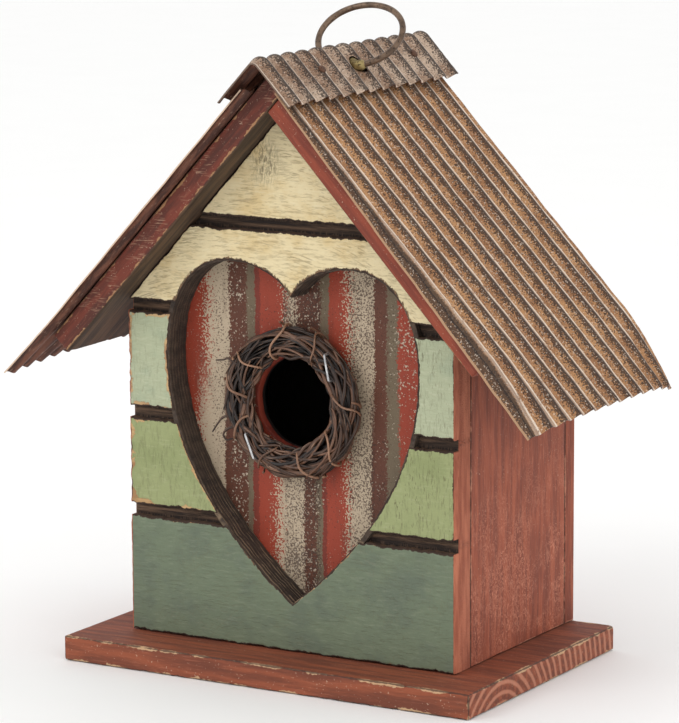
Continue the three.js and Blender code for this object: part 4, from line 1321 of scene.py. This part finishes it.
def laid_twigs():
    """Long twigs wound round the ring: each keeps its own place in the bundle, which turns slowly
    round the core and wanders. The twigs deep inside the bundle take the darkest tone as painted shade."""
    rng = np.random.default_rng(2024)
    parts, values = [], []
    stations, sides = 190, 6
    angle = np.linspace(0, 2 * np.pi, stations, endpoint=False)
    for number in range(46):
        depth = 1.0 if number < 28 else rng.uniform(0.3, 0.8)
        turns = rng.choice([-1, 1, 1, 2])
        lay = turns * angle + number * 2.399 + 0.35 * np.sin(angle * rng.integers(2, 5) + rng.uniform(0, 6))
        stray = 1 + 0.13 * np.sin(rng.integers(3, 8) * angle + rng.uniform(0, 6))
        stray += 0.09 * np.sin(rng.integers(7, 13) * angle + rng.uniform(0, 6))
        radial = (WREATH["radial"] + 0.9) * depth * stray * np.cos(lay)
        radial = np.where(radial < 0, 1.25, 1.0) * radial - 0.2
        forward = (WREATH["deep"] + 0.7) * depth * stray * np.sin(lay)
        thick = rng.uniform(0.5, 0.92) * (1 + 0.14 * np.sin(angle * rng.integers(4, 9) + rng.uniform(0, 6)))
        path = on_wreath(angle, radial, forward)
        path[:, 1] = np.minimum(path[:, 1], PANEL_FRONT - 1.3)
        points, faces = tube(path, thick, spoke(angle), sides, closed=True)
        parts.append((points, faces))
        # Painted shade: the twigs deep inside the bundle take the darkest tone.
        values.append(twig_values(points, stations, sides, 157, rng.uniform(0, 1) if number < 28 else 0.0))
    return parts, np.concatenate(values, 1)


def open_twig(path, thick, tone, sides=7):
    """A twig with two ends along a path, with its values for the bark."""
    points, faces = tube(path, thick, (0.3, -1.0, 0.2), sides)
    stations = len(points) // sides
    length = float(np.linalg.norm(np.diff(path, axis=0), axis=1).sum())
    return (points, faces), twig_values(points, stations, sides, length, tone)


def loose_twigs():
    """Short twigs laid over the bundle, whose ends lift away from it."""
    rng = np.random.default_rng(77)
    made = []
    for number in range(16):
        start, sweep = rng.uniform(0, 2 * np.pi), rng.uniform(0.7, 2.0)
        t = np.linspace(0, 1, 40)
        angle = start + sweep * t
        lay = 0.4 + number * 0.75 + 1.3 * t
        out = 1.12 + 0.32 * (np.abs(2 * t - 1) ** 6)
        path = on_wreath(
            angle, (WREATH["radial"] + 1.1) * out * np.cos(lay),
            (WREATH["deep"] + 1.1) * out * np.abs(np.sin(lay)))
        made.append(
            open_twig(
                path, rng.uniform(0.4, 0.6) * (1 - 0.35 * np.abs(2 * t - 1) ** 3), rng.uniform(0.3, 1)))
    return made


def vine(degrees, number):
    """A thin vine tied once round the bundle, its two ends crossing over on the front."""
    rng = np.random.default_rng(300 + number)
    reach = WREATH["strand"] + 0.65 + GAP
    t = np.linspace(-0.08, 1.12, 66)
    turn = 2 * np.pi * t - 0.4 * (number % 3)
    lean = (0.13 if number % 2 else -0.13) * rng.uniform(0.4, 1.5)
    angle = math.radians(degrees) + lean * np.cos(turn) + 0.1 * (t - 0.5) + 0.03 * np.sin(3 * turn + number)
    over = 1 + 0.07 * np.sin(2 * turn + number) + 0.1 * np.clip(t - 0.98, 0, 1) * 10
    path = on_wreath(
        angle, (WREATH["radial"] + reach) * over * np.cos(turn),
        (WREATH["deep"] + reach) * over * np.sin(turn))
    path[:, 1] = np.minimum(path[:, 1], PANEL_FRONT - 0.75)
    return open_twig(path, rng.uniform(0.38, 0.52), rng.uniform(0.3, 1), sides=8)


def put_twigs(name, made, slot, material, nodes, extra=None):
    """Many twigs as one piece; extra adds a list of closed ones with their values."""
    parts = [m[0] for m in made]
    values = [m[1] for m in made]
    if extra is not None:
        parts, values = extra[0] + parts, [extra[1]] + values
    points, faces = gather(parts)
    along, turn, tone = np.concatenate(values, 1)
    return piece(name, "house", slot, material, points, faces, nodes,
                 values={"along": along, "turn": turn, "tone": tone}, sharp=80)


put_twigs(
    "wreath_twigs", loose_twigs(), "twig", MATERIALS["twig"], ["wreath_strand_%d" % i for i in range(7)],
    laid_twigs())
put_twigs("wreath_vines", [vine(d, i) for i, d in enumerate(WRAPS)], "vine", MATERIALS["vine"],
          ["wreath_wrap_%d" % i for i in range(len(WRAPS))])

SPRIGS = (
    ((151, 7.4, 2), (153.5, 9, 2.6), (156, 11.5, 3.2)), ((195, 7.2, 2), (198, 9.8, 2.8), (202, 13.2, 3.2)),
    ((204, 7.4, 2), (206.5, 9.4, 2.6), (210.5, 8.8, 2.8), (212, 5.5, 3.4)))


def sprig(stations):
    """A stray end: it starts inside the bundle and goes out through its stations."""
    degrees, radial, forward = np.array([(stations[0][0], 2.5, 1.5), *stations], float).T
    path = catmull(on_wreath(np.radians(degrees), radial, forward), 24)
    return open_twig(path, np.linspace(0.6, 0.3, 24), 0.35)


put_twigs(
    "wreath_sprigs", [sprig(s) for s in SPRIGS], "twig", MATERIALS["twig"],
    ["wreath_sprig_%d" % i for i in range(3)])


def staple(degrees, way):
    """Flat wire bent twice: a crown over the bundle and a short leg down into it at each end."""
    front = WREATH["deep"] + WREATH["strand"] + GAP + 0.4
    back, half_crown, bend = front - 4, 5.3, 0.9
    s = [
        -half_crown, -half_crown, -half_crown + 0.3 * bend, -half_crown + bend, 0, half_crown - bend,
        half_crown - 0.3 * bend, half_crown, half_crown]
    f = [back, front - bend, front - 0.3 * bend, front, front, front, front - 0.3 * bend, front - bend, back]
    path = catmull(np.stack([s, f], -1), 50)
    angle, way = math.radians(degrees), math.radians(way)
    middle = on_wreath(np.array([angle]), 0.0, 0.0)[0]
    points = middle + path[:, :1] * [math.cos(way), 0, math.sin(way)] + path[:, 1:] * [0, -1.0, 0]
    return tube(points, 0.5, (-math.sin(way), 0.0, math.cos(way)), sides=10)


for number, (degrees, way) in enumerate([(41, 101), (227, 112)]):
    piece(
        "staple_%d" % number, "house", "staple_wire", MATERIALS["staple"], *staple(degrees, way),
        ["wreath_staple_%d" % number], sharp=60)

# ---------------------------------------------------------------- back door and fixings
pivot_z = CLEAN_OUT["z"] + CLEAN_OUT["rise"]
lean = math.asin((CLEAN_OUT["cover"] - CLEAN_OUT["ear"]) / CLEAN_OUT["rise"])
big = np.linspace(np.pi - lean, 2 * np.pi + lean, 72)
small = np.linspace(lean, np.pi - lean, 24)
cover_outline = np.concatenate([
    np.stack([CLEAN_OUT["cover"] * np.cos(big), CLEAN_OUT["z"] + CLEAN_OUT["cover"] * np.sin(big)], -1),
    np.stack([CLEAN_OUT["ear"] * np.cos(small), pivot_z + CLEAN_OUT["ear"] * np.sin(small)], -1)])
cover_front = BODY["back"] + GAP
cover_mesh = ring_board(
    lambda a: np.full(len(a), 1.9), cover_outline, np.array([0.0, pivot_z]), cover_front,
    cover_front + CLEAN_OUT["thick"], rim=0.4, count=180)
piece(
    "cover_plate", "cover", "cover_wood",
    finish(
        "Cover stain",
        stained_look(
            rgb(132, 66, 54), rgb(98, 44, 38), (1, 1, 0.1), (-400, 0, -400),
            (400, cover_front + CLEAN_OUT["thick"], 400), rgb(196, 128, 104), 0.5)),
    *cover_mesh, ["clean_out_cover"])


def domed(head, rise, shank, length, slot_deep=0.0):
    """A fixing's profile: a domed head with an optional round recess, then the shank to its tip."""
    a = np.radians(np.linspace(90, 0, 7))
    dome = [(head * math.cos(t), rise * (1 - math.sin(t))) for t in a]
    recess = [(0.01, slot_deep), (head * 0.3, slot_deep), (head * 0.36, 0.1)] if slot_deep else [(0.01, 0.0)]
    return recess + dome[2:] + [
        (head, rise + 0.5), (shank, rise + 0.52), (shank, length * 0.85), (0.05, length)]


def fixing(name, node, at, way, profile, slot, material):
    """A screw or a nail turned round its own axis."""
    return piece(name, "house", slot, material, *lathe(profile, at, way), [node], sharp=35)


fixing(
    "pivot_screw_head", "cover_screw", (0, BODY["back"] + 2 * GAP + CLEAN_OUT["thick"] + 1.8, pivot_z),
    (0, -1, 0), domed(4.2, 1.5, 1.6, 10, 0.9), "steel", MATERIALS["screw"])
screw_x = BODY["half"] - SIDE_T / 2
for number, (sx, y) in enumerate((sx, y) for sx in (-1, 1) for y in (-18, 44)):
    fixing(
        "foot_screw_%d" % number, "base_screw_%d" % number, (sx * screw_x, y, -0.25), (0, 0, 1),
        domed(3.4, 0.5, 1.7, 24, 0.35), "steel", MATERIALS["screw"])
for number, (sx, z) in enumerate((sx, z) for sx in (-1, 1) for z in (24, 51, 120)):
    fixing(
        "rear_nail_%d" % number, "back_nail_%d" % number,
        (sx * (screw_x + 2.3), BODY["back"] + 0.8 + GAP, z), (0, -1, 0), domed(1.7, 0.7, 0.75, 13),
        "rusty_nail", MATERIALS["rust"])
nail_high = TIN_BASE + TIN_T + CAP["nest"] + WAVE["height"] + TIN_T / 2 + GAP + 0.8
nail_places = [(side, WAVE["crest"] + (k + (side < 0)) * WAVE["pitch"]) for side in (1, -1) for k in (-3, 4)]
for number, (side, y) in enumerate(nail_places):
    x, z = on_slope(side, 5.2, nail_high - 0.25)
    fixing(
        "ridge_nail_%d" % number, "cap_nail_%d" % number, (x, y, z), (-side * SIN, 0, -COS),
        domed(1.7, 0.8, 0.75, 13), "rusty_nail", MATERIALS["rust"])

# ---------------------------------------------------------------- floor, light and camera
def floor_sheet():
    """A flat square of points, far larger than the object."""
    line = np.linspace(-6000, 6000, 9)
    x, y = np.meshgrid(line, line, indexing="ij")
    return np.stack([x, y, np.full_like(x, -0.3)], -1).reshape(-1, 3) * 0.001, quads(9, 9)


floor_points, floor_quads = floor_sheet()
floor_mesh = bpy.data.meshes.new("floor")
floor_mesh.from_pydata(floor_points.tolist(), [], floor_quads[:, ::-1].tolist())
floor_mesh.materials.append(finish("Pale floor", floor_look))
floor = bpy.data.objects.new("floor", floor_mesh)
bpy.context.scene.collection.objects.link(floor)

world = bpy.data.worlds.new("studio")
world.use_nodes = True
world.node_tree.nodes["Background"].inputs[0].default_value = (1.0, 1.0, 1.0, 1.0)
world.node_tree.nodes["Background"].inputs[1].default_value = 1.0
bpy.context.scene.world = world
bpy.context.scene.view_settings.view_transform = "Standard"


def softbox(name, place, size, power, target=(0, 0, 0.12)):
    """A square area lamp that faces a target."""
    lamp = bpy.data.lights.new(name, "AREA")
    lamp.shape = "SQUARE"
    lamp.size, lamp.energy = size, power
    made = bpy.data.objects.new(name, lamp)
    made.location = place
    made.rotation_euler = (Vector(target) - Vector(place)).to_track_quat("-Z", "Y").to_euler()
    bpy.context.scene.collection.objects.link(made)


softbox("key", (-0.9, -1.5, 1.3), 0.9, 7)
softbox("fill", (1.5, -0.7, 0.7), 1.0, 2.5)

camera_data = bpy.data.cameras.new("camera")
camera_data.sensor_width, camera_data.lens = 36.0, 185.5
camera_data.shift_x, camera_data.shift_y = -0.0209, -0.0052
camera_data.clip_start, camera_data.clip_end = 0.05, 30
camera = bpy.data.objects.new("camera", camera_data)
azimuth, elevation, reach = math.radians(30.37), math.radians(10.02), 1.50665
target = Vector((0.00122, 0.0105, 0.12132))
way = Vector(
    (math.sin(azimuth) * math.cos(elevation), -math.cos(azimuth) * math.cos(elevation), math.sin(elevation)))
camera.location = target + way * reach
aim = (-way).to_track_quat("-Z", "Y").to_matrix().to_4x4()
camera.rotation_euler = aim.to_euler()
camera.rotation_euler.rotate_axis("Z", math.radians(-0.24))
bpy.context.scene.collection.objects.link(camera)
bpy.context.scene.camera = camera
bpy.context.view_layer.update()
